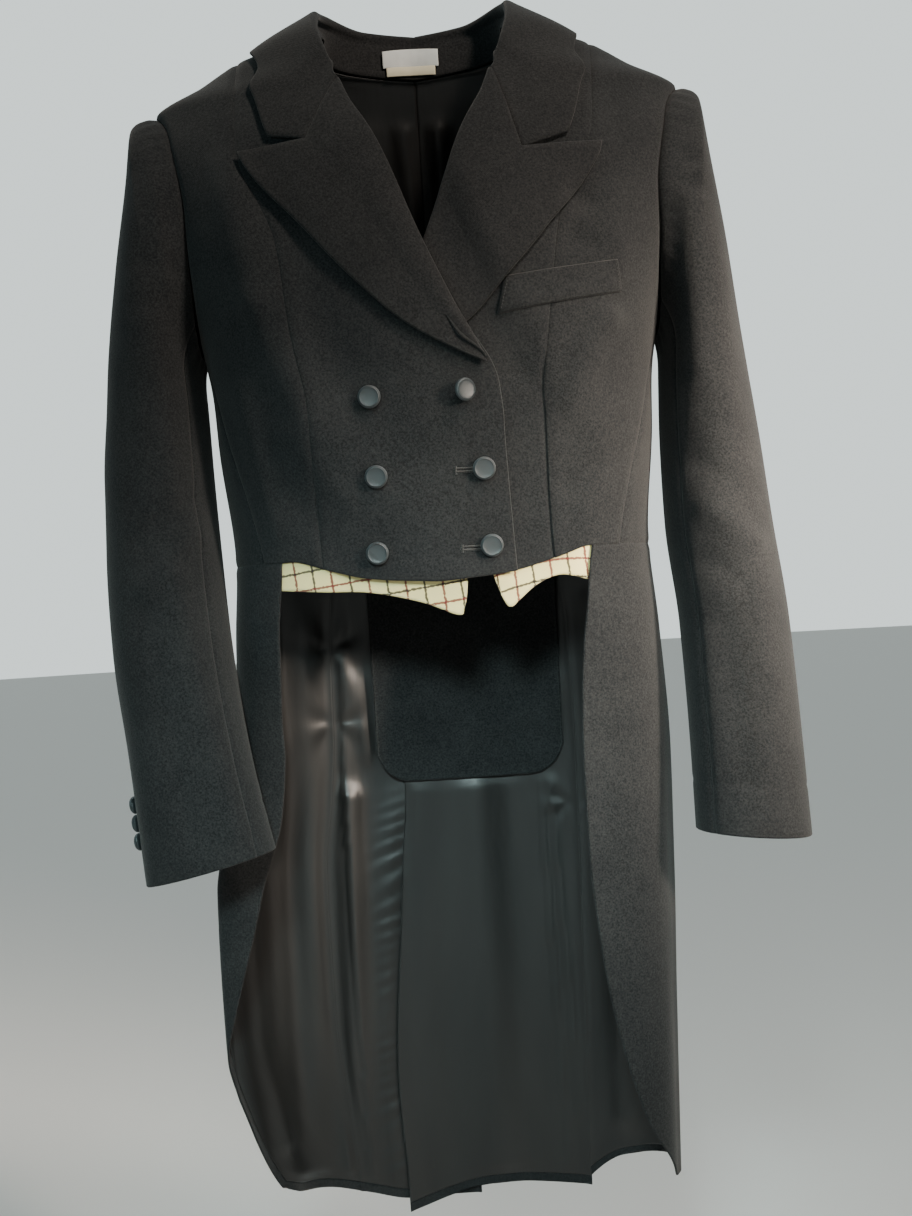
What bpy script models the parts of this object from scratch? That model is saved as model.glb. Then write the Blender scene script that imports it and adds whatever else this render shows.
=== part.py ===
"""Shadbelly coat, hanging in its worn form: wool shell, satin lining, collar, lapels and buttons.

Metres, +Z up, front towards -Y, the wearer's left towards +X. The origin is on the coat's
centre plane, at the height of the shoulder seams' neck ends. Heights below it are negative.

The cloth follows one surface, the coat's form: a stack of level rings whose widths and depths
are in BODY_RINGS. A point of it is named by its angle round the body (0 at the centre front,
90 at the wearer's left side, 180 at the centre back) and its height. Each cut piece is a grid
of such points between its seams, given a thickness, so pieces that lie on each other are the
same points moved in or out.
"""
import math

import bmesh
import bpy
import numpy as np

# Cloth
WOOL = 0.0018
COLLAR_CLOTH = 0.0022
SATIN = 0.0010
CHECK_CLOTH = 0.0015
LABEL_TAPE = 0.0010
SEAM_GAP = 0.0003
LAYER_GAP = 0.0003

# Heights
WAIST = -0.4345
LAPEL_END = -0.2915

# The coat's form: height, half width, depth in front, depth behind, squareness of the ring
BODY_RINGS = np.array([
    (0.012, 0.040, 0.025, 0.034, 2.0),
    (0.000, 0.078, 0.036, 0.048, 2.0),
    (-0.019, 0.145, 0.050, 0.060, 2.0),
    (-0.040, 0.181, 0.062, 0.068, 2.0),
    (-0.060, 0.216, 0.073, 0.075, 2.0),
    (-0.100, 0.223, 0.090, 0.086, 2.2),
    (-0.150, 0.213, 0.103, 0.094, 2.4),
    (-0.200, 0.200, 0.111, 0.097, 2.6),
    (-0.260, 0.186, 0.115, 0.095, 2.6),
    (-0.300, 0.180, 0.114, 0.091, 2.6),
    (-0.340, 0.178, 0.111, 0.086, 2.6),
    (-0.430, 0.170, 0.100, 0.079, 2.6),
    (-0.500, 0.174, 0.090, 0.085, 3.0),
    (-0.600, 0.178, 0.083, 0.094, 3.0),
    (-0.700, 0.176, 0.085, 0.098, 3.0),
    (-0.800, 0.172, 0.085, 0.100, 3.0),
    (-0.970, 0.166, 0.085, 0.105, 3.0),
])
RING_HEIGHT, HALF_WIDTH, FRONT_DEPTH, BACK_DEPTH, SQUARENESS = BODY_RINGS.T

# The wearer's right tail stands out further, and is pressed back by the sleeve in front of it:
# height, extra half width, depth taken off its front
RIGHT_TAIL = np.array([
    (-0.480, 0.000, 0.000),
    (-0.580, 0.000, 0.030),
    (-0.640, 0.009, 0.043),
    (-0.700, 0.024, 0.045),
    (-0.840, 0.029, 0.045),
    (-0.910, 0.021, 0.045),
    (-0.970, 0.012, 0.045),
])

# Largest vertical folds of the tails: angle, height where it begins, spread in degrees, depth
TAIL_FOLDS = np.array([
    (-137.0, -0.52, 7.0, 0.0060),
    (-122.0, -0.58, 6.0, -0.0050),
    (-158.0, -0.60, 7.0, -0.0040),
    (-75.0, -0.56, 9.0, 0.0030),
    (70.0, -0.56, 9.0, -0.0030),
    (112.0, -0.56, 8.0, 0.0050),
    (134.0, -0.60, 7.0, -0.0050),
])
FOLD_FADE = 0.14

# Broad drags on the fronts: ends (across, height), spread, depth. Across is along +X.
FRONT_DRAGS = np.array([
    (-0.145, -0.150, -0.088, -0.340, 0.026, 0.0045),
    (-0.088, -0.340, -0.005, -0.420, 0.026, 0.0030),
    (-0.110, -0.200, -0.040, -0.350, 0.028, -0.0025),
    (0.125, -0.150, 0.112, -0.200, 0.016, -0.0030),
    (0.140, -0.265, 0.105, -0.330, 0.016, 0.0030),
])

# Armhole: an upright ellipse seen from the side
ARMHOLE_HEIGHT = -0.161
ARMHOLE_HALF_HEIGHT = 0.101
ARMHOLE_HALF_DEPTH = 0.058
ARMHOLE_STEP = 20
SIDE_SEAM_TURN = -160
BACK_SEAM_TURN = 120

# Roll line and front edge of either front, seen from the front: across, height
FRONT_EDGE = np.array([
    (0.079, -0.003),
    (0.078, -0.010),
    (0.071, -0.030),
    (0.061, -0.057),
    (0.031, -0.112),
    (0.000, -0.194),
    (-0.023, -0.246),
    (-0.046, -0.2915),
    (-0.052, -0.3145),
    (-0.053, -0.351),
    (-0.055, -0.406),
    (-0.057, -0.4505),
])

# Seam from mid shoulder to the hem of the front: across, height
BUST_SEAM = {
    -1: np.array([
        (0.145, -0.019), (0.1445, -0.050), (0.143, -0.107), (0.116, -0.185),
        (0.1065, -0.2576), (0.0933, -0.335), (0.095, -0.4036), (0.093, -0.4410),
    ]),
    1: np.array([
        (0.145, -0.019), (0.142, -0.050), (0.1365, -0.107), (0.110, -0.163),
        (0.099, -0.2206), (0.0905, -0.2785), (0.086, -0.319), (0.086, -0.387), (0.088, -0.4427),
    ]),
}

# Hem of the fronts: across, height
FRONT_HEM = np.array([
    (0.0, -0.4560), (0.055, -0.4515), (0.093, -0.4415), (0.117, WAIST), (0.2, WAIST),
])

# Seams given by their angle: height, angle
SIDE_SEAM = np.array([(-0.2559, 80.0), (-0.300, 68.0), (-0.360, 57.0), (WAIST, 50.0)])
BACK_SEAM = np.array([(-0.2115, 119.0), (-0.260, 124.0), (-0.340, 136.0), (-0.400, 144.0), (WAIST, 147.0),
                      (-1.000, 147.0)])

# Front edge of each tail's skirt: height, angle
SKIRT_EDGE = {
    -1: np.array([
        (WAIST, 43.4), (-0.499, 42.9), (-0.556, 43.4), (-0.632, 43.0), (-0.680, 45.0), (-0.741, 51.0),
        (-0.783, 58.0), (-0.820, 69.0), (-0.860, 84.0), (-0.900, 98.0), (-0.967, 116.0),
    ]),
    1: np.array([
        (WAIST, 40.0), (-0.499, 34.5), (-0.555, 32.2), (-0.611, 31.4), (-0.686, 31.9), (-0.733, 33.2),
        (-0.780, 35.3), (-0.852, 41.0), (-0.890, 46.5), (-0.933, 58.0), (-0.948, 72.0),
    ]),
}

# Tail hems: angle, height
SKIRT_HEM = {
    -1: np.array([(116.0, -0.967), (128.0, -0.978), (141.0, -0.985), (147.0, -0.990)]),
    1: np.array([(72.0, -0.948), (120.0, -0.957), (138.0, -0.968), (147.0, -0.988)]),
}
BACK_HEM = {
    -1: np.array([(147.0, -0.990), (162.0, -1.000), (180.0, -1.000)]),
    1: np.array([(147.0, -0.996), (174.0, -0.991), (197.5, -1.010)]),
}

# Rows of the grids: heights at each side of a piece
FRONT_EDGE_ROWS = [0.0, -0.010, -0.030, -0.062, -0.100, -0.145, -0.194, -0.245, LAPEL_END,
                   -0.322, -0.354, -0.386, -0.420]
BUST_SEAM_ROWS = [-0.019, -0.027, -0.045, -0.073, -0.110, -0.150, -0.190, -0.228, -0.262,
                  -0.295, -0.330, -0.365, -0.400]
SIDE_SEAM_ROWS = [-0.290, -0.325, -0.360, -0.400, WAIST]
BACK_SEAM_ROWS = [-0.255, -0.300, -0.345, -0.390, WAIST]
TAIL_ROWS = [0.0, 0.06, 0.12, 0.17, 0.24, 0.32, 0.41, 0.50, 0.59, 0.68, 0.77, 0.85, 0.92, 0.985, 1.0]

# The wearer's left back runs on past the centre, under the other tail
VENT_TURN = 17.5
VENT_ROWS = (-0.53, -0.575)
VENT_DROP = 0.0046
VENT_DROP_FROM, VENT_DROP_TO = 165.0, 176.0
VENT_DROP_HEIGHTS = (-0.480, -0.518)

# The wearer's left front lies under the right one: how deep, beside the lapel and below it
UNDER_DROP_LAPEL = 0.0072
UNDER_DROP = 0.0038
UNDER_FROM, UNDER_TO = 0.052, 0.012

# Sleeves: height, x of the side next to the body, x of the outer side, y in front, y behind
SLEEVE_RINGS = {
    1: np.array([
        (-0.060, 0.188, 0.231, -0.060, 0.052),
        (-0.120, 0.188, 0.238, -0.066, 0.056),
        (-0.190, 0.188, 0.247, -0.070, 0.056),
        (-0.262, 0.189, 0.254, -0.071, 0.052),
        (-0.300, 0.186, 0.258, -0.072, 0.047),
        (-0.360, 0.183, 0.264, -0.074, 0.036),
        (-0.420, 0.182, 0.268, -0.080, 0.022),
        (-0.500, 0.187, 0.274, -0.090, 0.002),
        (-0.580, 0.188, 0.276, -0.098, -0.014),
        (-0.670, 0.187, 0.277, -0.111, -0.029),
    ]),
    -1: np.array([
        (-0.060, 0.188, 0.234, -0.060, 0.052),
        (-0.120, 0.188, 0.242, -0.066, 0.056),
        (-0.190, 0.188, 0.254, -0.070, 0.056),
        (-0.262, 0.189, 0.264, -0.071, 0.052),
        (-0.300, 0.186, 0.267, -0.072, 0.047),
        (-0.360, 0.183, 0.271, -0.076, 0.035),
        (-0.420, 0.179, 0.271, -0.083, 0.021),
        (-0.500, 0.172, 0.267, -0.095, -0.002),
        (-0.580, 0.161, 0.257, -0.101, -0.022),
        (-0.670, 0.142, 0.248, -0.105, -0.039),
    ]),
}
SLEEVE_ROWS = [0.0, 0.012, 0.034, 0.065, 0.11, 0.17, 0.24, 0.32, 0.40, 0.48, 0.56, 0.64, 0.73, 0.82, 0.91, 1.0]
SLEEVE_CAP_TOP = 0.016
SLEEVE_CAP_SIDE = 0.045
SLEEVE_SEAT = 0.0004
UNDERARM_ROOM = 0.0024
FOREARM_SEAM_TURN = -140
CUFF_HEIGHT = {1: -0.6665, -1: -0.6695}
CUFF_TILT = {1: 0.0045, -1: 0.0115}
HIND_SEAM_TURN = {1: 40, -1: 20}

# Collar, from the centre back to the gorge:
# seam angle and height, the fold's x, y and z, edge angle and height
COLLAR_STATIONS = np.array([
    (180.0, -0.0200, 0.0000, 0.066, 0.014, 180.0, -0.0420),
    (150.0, -0.0130, 0.0420, 0.059, 0.018, 152.0, -0.0360),
    (118.0, -0.0040, 0.0710, 0.032, 0.023, 118.0, -0.0200),
    (90.0, 0.0000, 0.0810, 0.002, 0.019, 90.0, -0.0125),
    (43.6, -0.0100, 0.0795, -0.032, -0.001, 57.5, -0.0200),
    (25.5, -0.0300, 0.0725, -0.055, -0.028, 38.0, -0.0480),
    (16.7, -0.0570, 0.0615, -0.067, -0.057, 30.4, -0.1080),
])
COLLAR_COLUMNS = 13
STAND_COLUMNS = 10
STAND_TOP = 0.98
COLLAR_LIFT = 0.0022
NOTCH_FROM = 0.62

# Where collar and lapel meet: the gorge's foot, the collar's corner, the lapel's tip
NOTCH = {
    -1: ((0.0862, -0.109), (0.1155, -0.103), (0.1380, -0.115)),
    1: ((0.0790, -0.127), (0.1160, -0.114), (0.1410, -0.123)),
}
GORGE_TOP = (0.061, -0.057)
GORGE_STEPS = 3

# Outer edge of the lapels, from below the tip to the break: across, height
LAPEL_EDGE = {
    -1: np.array([(0.1380, -0.115), (0.1350, -0.124), (0.093, -0.178), (0.055, -0.223), (0.018, -0.2584),
                  (-0.018, -0.2804), (-0.0425, -0.2925)]),
    1: np.array([(0.1410, -0.123), (0.1395, -0.130), (0.093, -0.192), (0.055, -0.234), (0.032, -0.2575),
                 (0.000, -0.2770), (-0.0425, -0.2925)]),
}
LAPEL_ROWS = 13
LAPEL_LIFT = {-1: 0.0012, 1: 0.0020}
LAPEL_EDGE_LIFT = 0.0026
LAPEL_ROLL = 0.0016

# Chest welt: its four corners (across, height)
WELT_TOP = ((0.0605, -0.2285), (0.147, -0.2165))
WELT_FOOT = ((0.0540, -0.2555), (0.149, -0.2400))
WELT_LIFT = 0.0009

# Waistcoat points below the fronts: x, height of the lower edge
VEST_POINTS = {
    "right": np.array([(-0.130, -0.4560), (-0.095, -0.4595), (-0.056, -0.4630), (-0.0186, -0.4724),
                       (0.0093, -0.4836), (0.0150, -0.4790), (0.0186, -0.4600)]),
    "left": np.array([(0.0390, -0.4545), (0.0465, -0.4750), (0.0520, -0.4800), (0.0595, -0.4743),
                      (0.0744, -0.4630), (0.0930, -0.4566), (0.1160, -0.4613), (0.1200, -0.4560)]),
}
VEST_TUCK = 0.016
VEST_SEAT = 0.0008
VEST_COLUMNS = 12

# Saddle patch inside the tails: x of its sides, height of its foot, corner radius
PATCH_SIDES = (-0.069, 0.096)
PATCH_FOOT = -0.627
PATCH_CORNER = 0.030
PATCH_TOP_DROP = 0.004
PATCH_DROP_HEIGHTS = (-0.455, -0.495)
PATCH_SEAT = 0.0010

# Buttons
BUTTON_RADIUS = 0.0088
BUTTON_THICKNESS = 0.0042
BUTTON_SHANK = 0.0030
CUFF_BUTTON_RADIUS = 0.0070
CUFF_BUTTON_SHANK = 0.0012
CUFF_BUTTON_PITCH = 0.0144
CUFF_BUTTON_COUNT = 3
CUFF_BUTTON_START = 0.022
BUTTON_PROFILE = ((0.90, 0.0), (1.0, 0.35), (0.97, 0.80), (0.86, 1.0), (0.70, 0.86), (0.0, 0.80))
BUTTON_SIDES = 16
CUFF_BUTTON_SIDES = 12

# Front buttons: x, height, shank length, turn about the upright axis in degrees
FRONT_BUTTONS = np.array([
    (-0.0480, -0.3136, 0.0020, 0.0),
    (-0.0460, -0.3740, 0.0020, 0.0),
    (-0.0490, -0.4320, 0.0020, 0.0),
    (0.0240, -0.3127, 0.0052, -30.0),
    (0.0360, -0.3724, 0.0020, 0.0),
    (0.0386, -0.4310, 0.0020, 0.0),
])

# Labels inside the collar stand: x of the ends, top and foot as shares of the stand's height
WOVEN_LABEL = (-0.027, 0.021, 0.70, 0.27)
SIZE_LABEL = (-0.024, 0.018, 0.24, 0.04)
LABEL_SEAT = 0.0009


def ease(value, start, end):
    """Goes from 0 at start to 1 at end along a soft S, and stays level beyond both."""
    share = np.clip((value - start) / (end - start), 0.0, 1.0)
    return share * share * (3.0 - 2.0 * share)


def curve(keys, values, at):
    """Reads a table along a smooth curve that never overshoots it, straight beyond its ends."""
    order = np.argsort(keys)
    keys, values = np.asarray(keys, float)[order], np.asarray(values, float)[order]
    step = np.diff(keys)
    slope = np.diff(values) / step
    product = slope[:-1] * slope[1:]
    total = np.where(product > 0, slope[:-1] + slope[1:], 1.0)
    middle = np.where(product > 0, 2.0 * product / total, 0.0)
    tangent = np.concatenate([slope[:1], middle, slope[-1:]])
    at = np.asarray(at, float)
    inside = np.clip(at, keys[0], keys[-1])
    cell = np.clip(np.searchsorted(keys, inside) - 1, 0, len(step) - 1)
    share = (inside - keys[cell]) / step[cell]
    square, cube = share ** 2, share ** 3
    value = (2 * cube - 3 * square + 1) * values[cell] + (3 * square - 2 * cube) * values[cell + 1]
    value += step[cell] * ((cube - 2 * square + share) * tangent[cell] + (cube - square) * tangent[cell + 1])
    past = at - inside
    return value + past * np.where(past > 0, tangent[-1], tangent[0])


def right_tail(height, column):
    """A column of the wearer's right tail's own shape, at a height."""
    height = np.clip(height, RIGHT_TAIL[-1, 0], RIGHT_TAIL[0, 0])
    return curve(RIGHT_TAIL[:, 0], RIGHT_TAIL[:, column], height)


def half_width(height, x_sign):
    """Half width of the ring at a height, on the side that x_sign names."""
    return curve(RING_HEIGHT, HALF_WIDTH, height) + np.where(x_sign < 0, right_tail(height, 1), 0.0)


def bare_form(angle, height):
    """A point of the form's ring: a rounded rectangle in polar shape, at an angle and a height."""
    turn = np.radians(angle)
    across, along = np.sin(turn), np.cos(turn)
    power = curve(RING_HEIGHT, SQUARENESS, height)
    reach = (np.abs(across) ** power + np.abs(along) ** power) ** (1.0 / power)
    pressed = np.where(across < 0, right_tail(height, 2), 0.0)
    depth = np.where(along > 0, curve(RING_HEIGHT, FRONT_DEPTH, height) - pressed,
                     curve(RING_HEIGHT, BACK_DEPTH, height))
    x = half_width(height, across) * across / reach
    return np.stack([x, -depth * along / reach, height + 0.0 * x], axis=-1)


def outward(angle, height):
    """Unit vector that points out of the form, from small steps round it and down it."""
    step_angle, step_height = 0.2, 0.0005
    around = bare_form(angle + step_angle, height) - bare_form(angle - step_angle, height)
    down = bare_form(angle, height - step_height) - bare_form(angle, height + step_height)
    normal = np.cross(down, around)
    return normal / np.linalg.norm(normal, axis=-1, keepdims=True)


def drape(angle, height, point):
    """How far folds and drags lift the cloth off the bare form."""
    lift = np.zeros(np.shape(point[..., 0]))
    for fold_angle, begins, spread, depth in TAIL_FOLDS:
        apart = (angle - fold_angle + 180.0) % 360.0 - 180.0
        lift += depth * np.exp(-(apart / spread) ** 2) * ease(height, begins, begins - FOLD_FADE)
    for x_top, z_top, x_foot, z_foot, spread, depth in FRONT_DRAGS:
        run = np.array([x_foot - x_top, z_foot - z_top])
        length = np.hypot(*run)
        along = ((point[..., 0] - x_top) * run[0] + (height - z_top) * run[1]) / length
        off = ((point[..., 0] - x_top) * run[1] - (height - z_top) * run[0]) / length
        past = np.maximum(np.maximum(-along, along - length), 0.0)
        in_front = ease(point[..., 1], -0.02, -0.05)
        lift += depth * np.exp(-(off ** 2 + past ** 2) / spread ** 2) * in_front
    return lift


def form(angle, height, out=0.0):
    """A point of the draped cloth's outer face, moved out (or in, if negative) by a distance."""
    angle, height = np.broadcast_arrays(np.asarray(angle, float), np.asarray(height, float))
    point = bare_form(angle, height)
    lift = drape(angle, height, point) + out
    return point + lift[..., None] * outward(angle, height)


def front_angle(x, height):
    """Angle of the front point with a given x, at a height. Taken from 180 it is the back point's."""
    power = curve(RING_HEIGHT, SQUARENESS, height)
    share = np.clip(np.abs(x) / half_width(height, np.asarray(x)), 0.0, 0.9999)
    return np.sign(x) * np.degrees(np.arctan2(share, (1.0 - share ** power) ** (1.0 / power)))


def armhole(turn):
    """Angle and height of an armhole point: turn 0 at the shoulder, -90 in front, 180 underarm."""
    turn = np.radians(np.asarray(turn, float))
    height = ARMHOLE_HEIGHT + ARMHOLE_HALF_HEIGHT * np.cos(turn)
    y = ARMHOLE_HALF_DEPTH * np.sin(turn)
    front, behind = curve(RING_HEIGHT, FRONT_DEPTH, height), curve(RING_HEIGHT, BACK_DEPTH, height)
    power = curve(RING_HEIGHT, SQUARENESS, height)
    share = np.abs(y) / np.where(y < 0, front, behind)
    angle = np.degrees(np.arctan2((1.0 - share ** power) ** (1.0 / power), -np.sign(y) * share))
    return np.stack([angle, height], axis=-1)


def line(start, end, count):
    """Evenly spaced points from start to end, both included, in count steps."""
    share = np.linspace(0.0, 1.0, count + 1)[:, None]
    return np.asarray(start, float) * (1.0 - share) + np.asarray(end, float) * share


def fill(top, foot, left, right, fade=1.0):
    """Grid between four edges, whose rows run from left to right.

    A row's straight run between the side edges is bent by what the top edge departs from its own
    straight run, which fades away downwards (faster with a higher fade), and by the foot's.
    """
    down = np.linspace(0.0, 1.0, len(left))[:, None, None]
    over = np.linspace(0.0, 1.0, len(top))[None, :, None]
    rows = (1 - over) * left[:, None] + over * right[:, None]
    top_bend = top[None] - ((1 - over) * top[0] + over * top[-1])
    foot_bend = foot[None] - ((1 - over) * foot[0] + over * foot[-1])
    return rows + (1 - down) ** fade * top_bend + down ** fade * foot_bend


def at_heights(table, heights):
    """Points of a seam given as (height, angle) rows, at some heights."""
    heights = np.asarray(heights, float)
    return np.stack([curve(table[:, 0], table[:, 1], heights), heights], axis=-1)


def seen_at(table, heights):
    """Points of a seam given as (across, height) rows, at some heights, as angles and heights."""
    heights = np.asarray(heights, float)
    across = curve(table[:, 1], table[:, 0], heights)
    return np.stack([front_angle(across, heights), heights], axis=-1)


def hem_height(x):
    """Height of the fronts' curved hem at an x."""
    return curve(FRONT_HEM[:, 0], FRONT_HEM[:, 1], np.abs(x))


def hem_line(start_angle, end_angle, count):
    """The fronts' hem between two angles."""
    angle = np.linspace(start_angle, end_angle, count + 1)
    return np.stack([angle, hem_height(bare_form(angle, WAIST)[..., 0])], axis=-1)


def material(name, colour, roughness):
    """A plain cloth or button material: linear colour and roughness."""
    made = bpy.data.materials.new(name)
    made.use_nodes = True
    shader = made.node_tree.nodes["Principled BSDF"]
    shader.inputs["Base Color"].default_value = (*colour, 1.0)
    shader.inputs["Roughness"].default_value = roughness
    shader.inputs["Metallic"].default_value = 0.0
    made.diffuse_color = (*colour, 1.0)
    return made


def add_mesh(name, points, faces, finish):
    """One closed piece: its faces turned outwards, round parts shaded smooth."""
    mesh = bpy.data.meshes.new(name)
    mesh.from_pydata([tuple(point) for point in points], [], [tuple(face) for face in faces])
    shell = bmesh.new()
    shell.from_mesh(mesh)
    bmesh.ops.recalc_face_normals(shell, faces=shell.faces)
    shell.to_mesh(mesh)
    shell.free()
    mesh.shade_smooth()
    mesh.set_sharp_from_angle(angle=math.radians(40))
    mesh.materials.append(finish)
    piece = bpy.data.objects.new(name, mesh)
    bpy.context.scene.collection.objects.link(piece)
    return piece


def drawn_in(grid, amount):
    """The grid with its four edges drawn in along the cloth by a small amount, for the gap at a seam."""
    grid = grid.copy()
    for edge, inner in ((0, 1), (-1, -2)):
        for view in (grid, grid.swapaxes(0, 1)):
            run = view[inner] - view[edge]
            view[edge] += run / np.linalg.norm(run, axis=-1, keepdims=True) * amount
    return grid


def wall(name, outer, inner, finish):
    """A closed cloth wall between an outer and an inner grid of points, with a rim all round.

    Every rim face is split from its outer point to the next inner one, so that two pieces' rims that face
    each other across a seam have the same facets.
    """
    outer, inner = drawn_in(outer, SEAM_GAP / 2), drawn_in(inner, SEAM_GAP / 2)
    rows, columns = outer.shape[:2]
    number = np.arange(rows * columns).reshape(rows, columns)
    corners = (number[:-1, :-1], number[:-1, 1:], number[1:, 1:], number[1:, :-1])
    a, b, c, d = (corner.ravel() for corner in corners)
    face = np.concatenate([np.stack([a, b, c], 1), np.stack([a, c, d], 1)])
    back = face[:, ::-1] + rows * columns
    rims = []
    for edge in (number[0], number[-1], number[:, 0], number[:, -1]):
        near, following = edge[:-1], edge[1:]
        far, far_following = near + rows * columns, following + rows * columns
        rims += [np.stack([near, following, far_following], 1), np.stack([near, far_following, far], 1)]
    points = np.concatenate([outer.reshape(-1, 3), inner.reshape(-1, 3)])
    return add_mesh(name, points, np.concatenate([face, back, *rims]), finish)


def panel(name, chart, side, finish, out=0.0, thickness=WOOL):
    """A cut piece on the form. The chart holds angles and heights; side -1 mirrors it to the wearer's right."""
    angle, height = side * chart[..., 0], chart[..., 1]
    return wall(name, form(angle, height, out), form(angle, height, out - thickness), finish)


def grid_normals(grid):
    """Unit normals of a grid of points, from the differences between its neighbours."""
    down = np.gradient(grid, axis=0)
    over = np.gradient(grid, axis=1)
    normal = np.cross(down, over)
    return normal / np.linalg.norm(normal, axis=-1, keepdims=True)


def under_drop(x, height):
    """How far the under front lies in, behind the over front's edge, at a point seen from the front."""
    edge = -curve(FRONT_EDGE[:, 1], FRONT_EDGE[:, 0], height)
    depth = UNDER_DROP + (UNDER_DROP_LAPEL - UNDER_DROP) * ease(height, -0.318, -0.290)
    return depth * ease(x, edge + UNDER_FROM, edge + UNDER_TO)


def front_out(chart, side):
    """How far a front piece of this side lies out: the wearer's left one goes under."""
    if side < 0:
        return 0.0
    return -under_drop(bare_form(chart[..., 0], chart[..., 1])[..., 0], chart[..., 1])


def front_charts(side):
    """Charts of the centre front and the side front: they share the bust seam's points."""
    seam = BUST_SEAM[side]
    bust = seen_at(seam, BUST_SEAM_ROWS)
    bust[0] = (90.0, BUST_SEAM_ROWS[0])
    foot_angle = front_angle(seam[-1, 0], seam[-1, 1])
    bust = np.vstack([bust, (foot_angle, hem_height(seam[-1, 0]))])
    edge = seen_at(FRONT_EDGE, FRONT_EDGE_ROWS)
    edge[0] = (90.0, 0.0)
    edge_foot_x, edge_foot = FRONT_EDGE[-1]
    edge = np.vstack([edge, (front_angle(edge_foot_x, edge_foot), hem_height(edge_foot_x))])
    count = 10
    front = fill(line(edge[0], bust[0], count), hem_line(edge[-1, 0], foot_angle, count), edge, bust)
    turns = np.arange(0, SIDE_SEAM_TURN - 1, -ARMHOLE_STEP)
    outer = np.vstack([armhole(turns), at_heights(SIDE_SEAM, SIDE_SEAM_ROWS)])
    count = 5
    foot = hem_line(foot_angle, outer[-1, 0], count)
    side_front = fill(line(bust[0], outer[0], count), foot, bust, outer)
    return front, side_front


def side_chart():
    """Chart of the side body, from the side seam round to the back seam, under the armhole."""
    start = armhole(SIDE_SEAM_TURN)
    left = np.vstack([start, at_heights(SIDE_SEAM, SIDE_SEAM_ROWS)])
    right = np.vstack([armhole(BACK_SEAM_TURN), at_heights(BACK_SEAM, BACK_SEAM_ROWS)])
    turns = np.arange(SIDE_SEAM_TURN, BACK_SEAM_TURN - 360 - 1, -ARMHOLE_STEP / 2)
    return fill(armhole(turns), line(left[-1], right[-1], len(turns) - 1), left, right)


def back_chart(side):
    """Chart of a back from neck to tail hem, cut in one. The wearer's left one carries the vent's underlap."""
    columns, neck = 9, 4
    top = np.vstack([line((180.0, -0.020), (90.0, 0.0), neck)[:-1],
                     line((90.0, 0.0), (90.0, armhole(0)[1]), columns - neck)])
    top[1:neck, 1] = curve(COLLAR_STATIONS[:, 0], COLLAR_STATIONS[:, 1], top[1:neck, 0])
    turns = np.arange(0, BACK_SEAM_TURN + 1, ARMHOLE_STEP)
    outer = np.vstack([armhole(turns), at_heights(BACK_SEAM, BACK_SEAM_ROWS)])
    centre_heights = np.interp(outer[:, 1], (WAIST, outer[0, 1]), (WAIST, -0.020))
    centre = np.stack([np.full(len(outer), 180.0), centre_heights], axis=-1)
    waist = line(centre[-1], outer[-1], columns)
    body = fill(top, waist, centre, outer, fade=4.0)
    hem = BACK_HEM[side]
    shares = np.array(TAIL_ROWS)
    seam_hem, centre_hem = hem[0, 1], hem[-1, 1]
    seam = np.stack([np.full(len(shares), 147.0), WAIST + shares * (seam_hem - WAIST)], axis=-1)
    heights = WAIST + shares * (centre_hem - WAIST)
    lap = VENT_TURN * ease(heights, *VENT_ROWS) if side > 0 else 0.0 * heights
    middle = np.stack([180.0 + lap, heights], axis=-1)
    foot_angles = np.linspace(middle[-1, 0], 147.0, columns + 1)
    foot = np.stack([foot_angles, curve(hem[:, 0], hem[:, 1], foot_angles)], axis=-1)
    tail = fill(waist, foot, middle, seam)
    return np.vstack([body, tail[1:]])


def vent_out(chart, side):
    """How far a back's points lie in: the underlap goes inside the other tail, below the vent's top."""
    if side < 0:
        return 0.0 * chart[..., 0]
    turned = ease(chart[..., 0], VENT_DROP_FROM, VENT_DROP_TO)
    return -VENT_DROP * turned * ease(chart[..., 1], *VENT_DROP_HEIGHTS)


def skirt_chart(side):
    """Chart of a tail's skirt, from its front edge round to the back seam, below the waist."""
    columns = 9
    hem = SKIRT_HEM[side]
    shares = np.array(TAIL_ROWS)
    edge_heights = WAIST + shares * (hem[0, 1] - WAIST)
    edge = at_heights(SKIRT_EDGE[side], edge_heights)
    seam = np.stack([np.full(len(shares), 147.0), WAIST + shares * (hem[-1, 1] - WAIST)], axis=-1)
    foot_angles = np.linspace(edge[-1, 0], 147.0, columns + 1)
    foot = np.stack([foot_angles, curve(hem[:, 0], hem[:, 1], foot_angles)], axis=-1)
    return fill(line(edge[0], seam[0], columns), foot, edge, seam)


def make_body(wool, satin):
    """Fronts, side bodies, backs, skirts and the linings that show."""
    inside = -(WOOL + LAYER_GAP)
    for side, word in ((-1, "right"), (1, "left")):
        front, side_front = front_charts(side)
        panel(f"front_{word}", front, side, wool, front_out(front, side))
        panel(f"side_front_{word}", side_front, side, wool)
        panel(f"side_body_{word}", side_chart(), side, wool)
        back = back_chart(side)
        panel(f"back_{word}", back, side, wool, vent_out(back, side))
        lining = back[:-1]
        panel(f"lining_back_{word}", lining, side, satin, vent_out(lining, side) + inside, SATIN)
        skirt = skirt_chart(side)
        panel(f"skirt_{word}", skirt, side, wool)
        panel(f"lining_skirt_{word}", skirt[:-1, 1:], side, satin, inside, SATIN)


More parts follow.
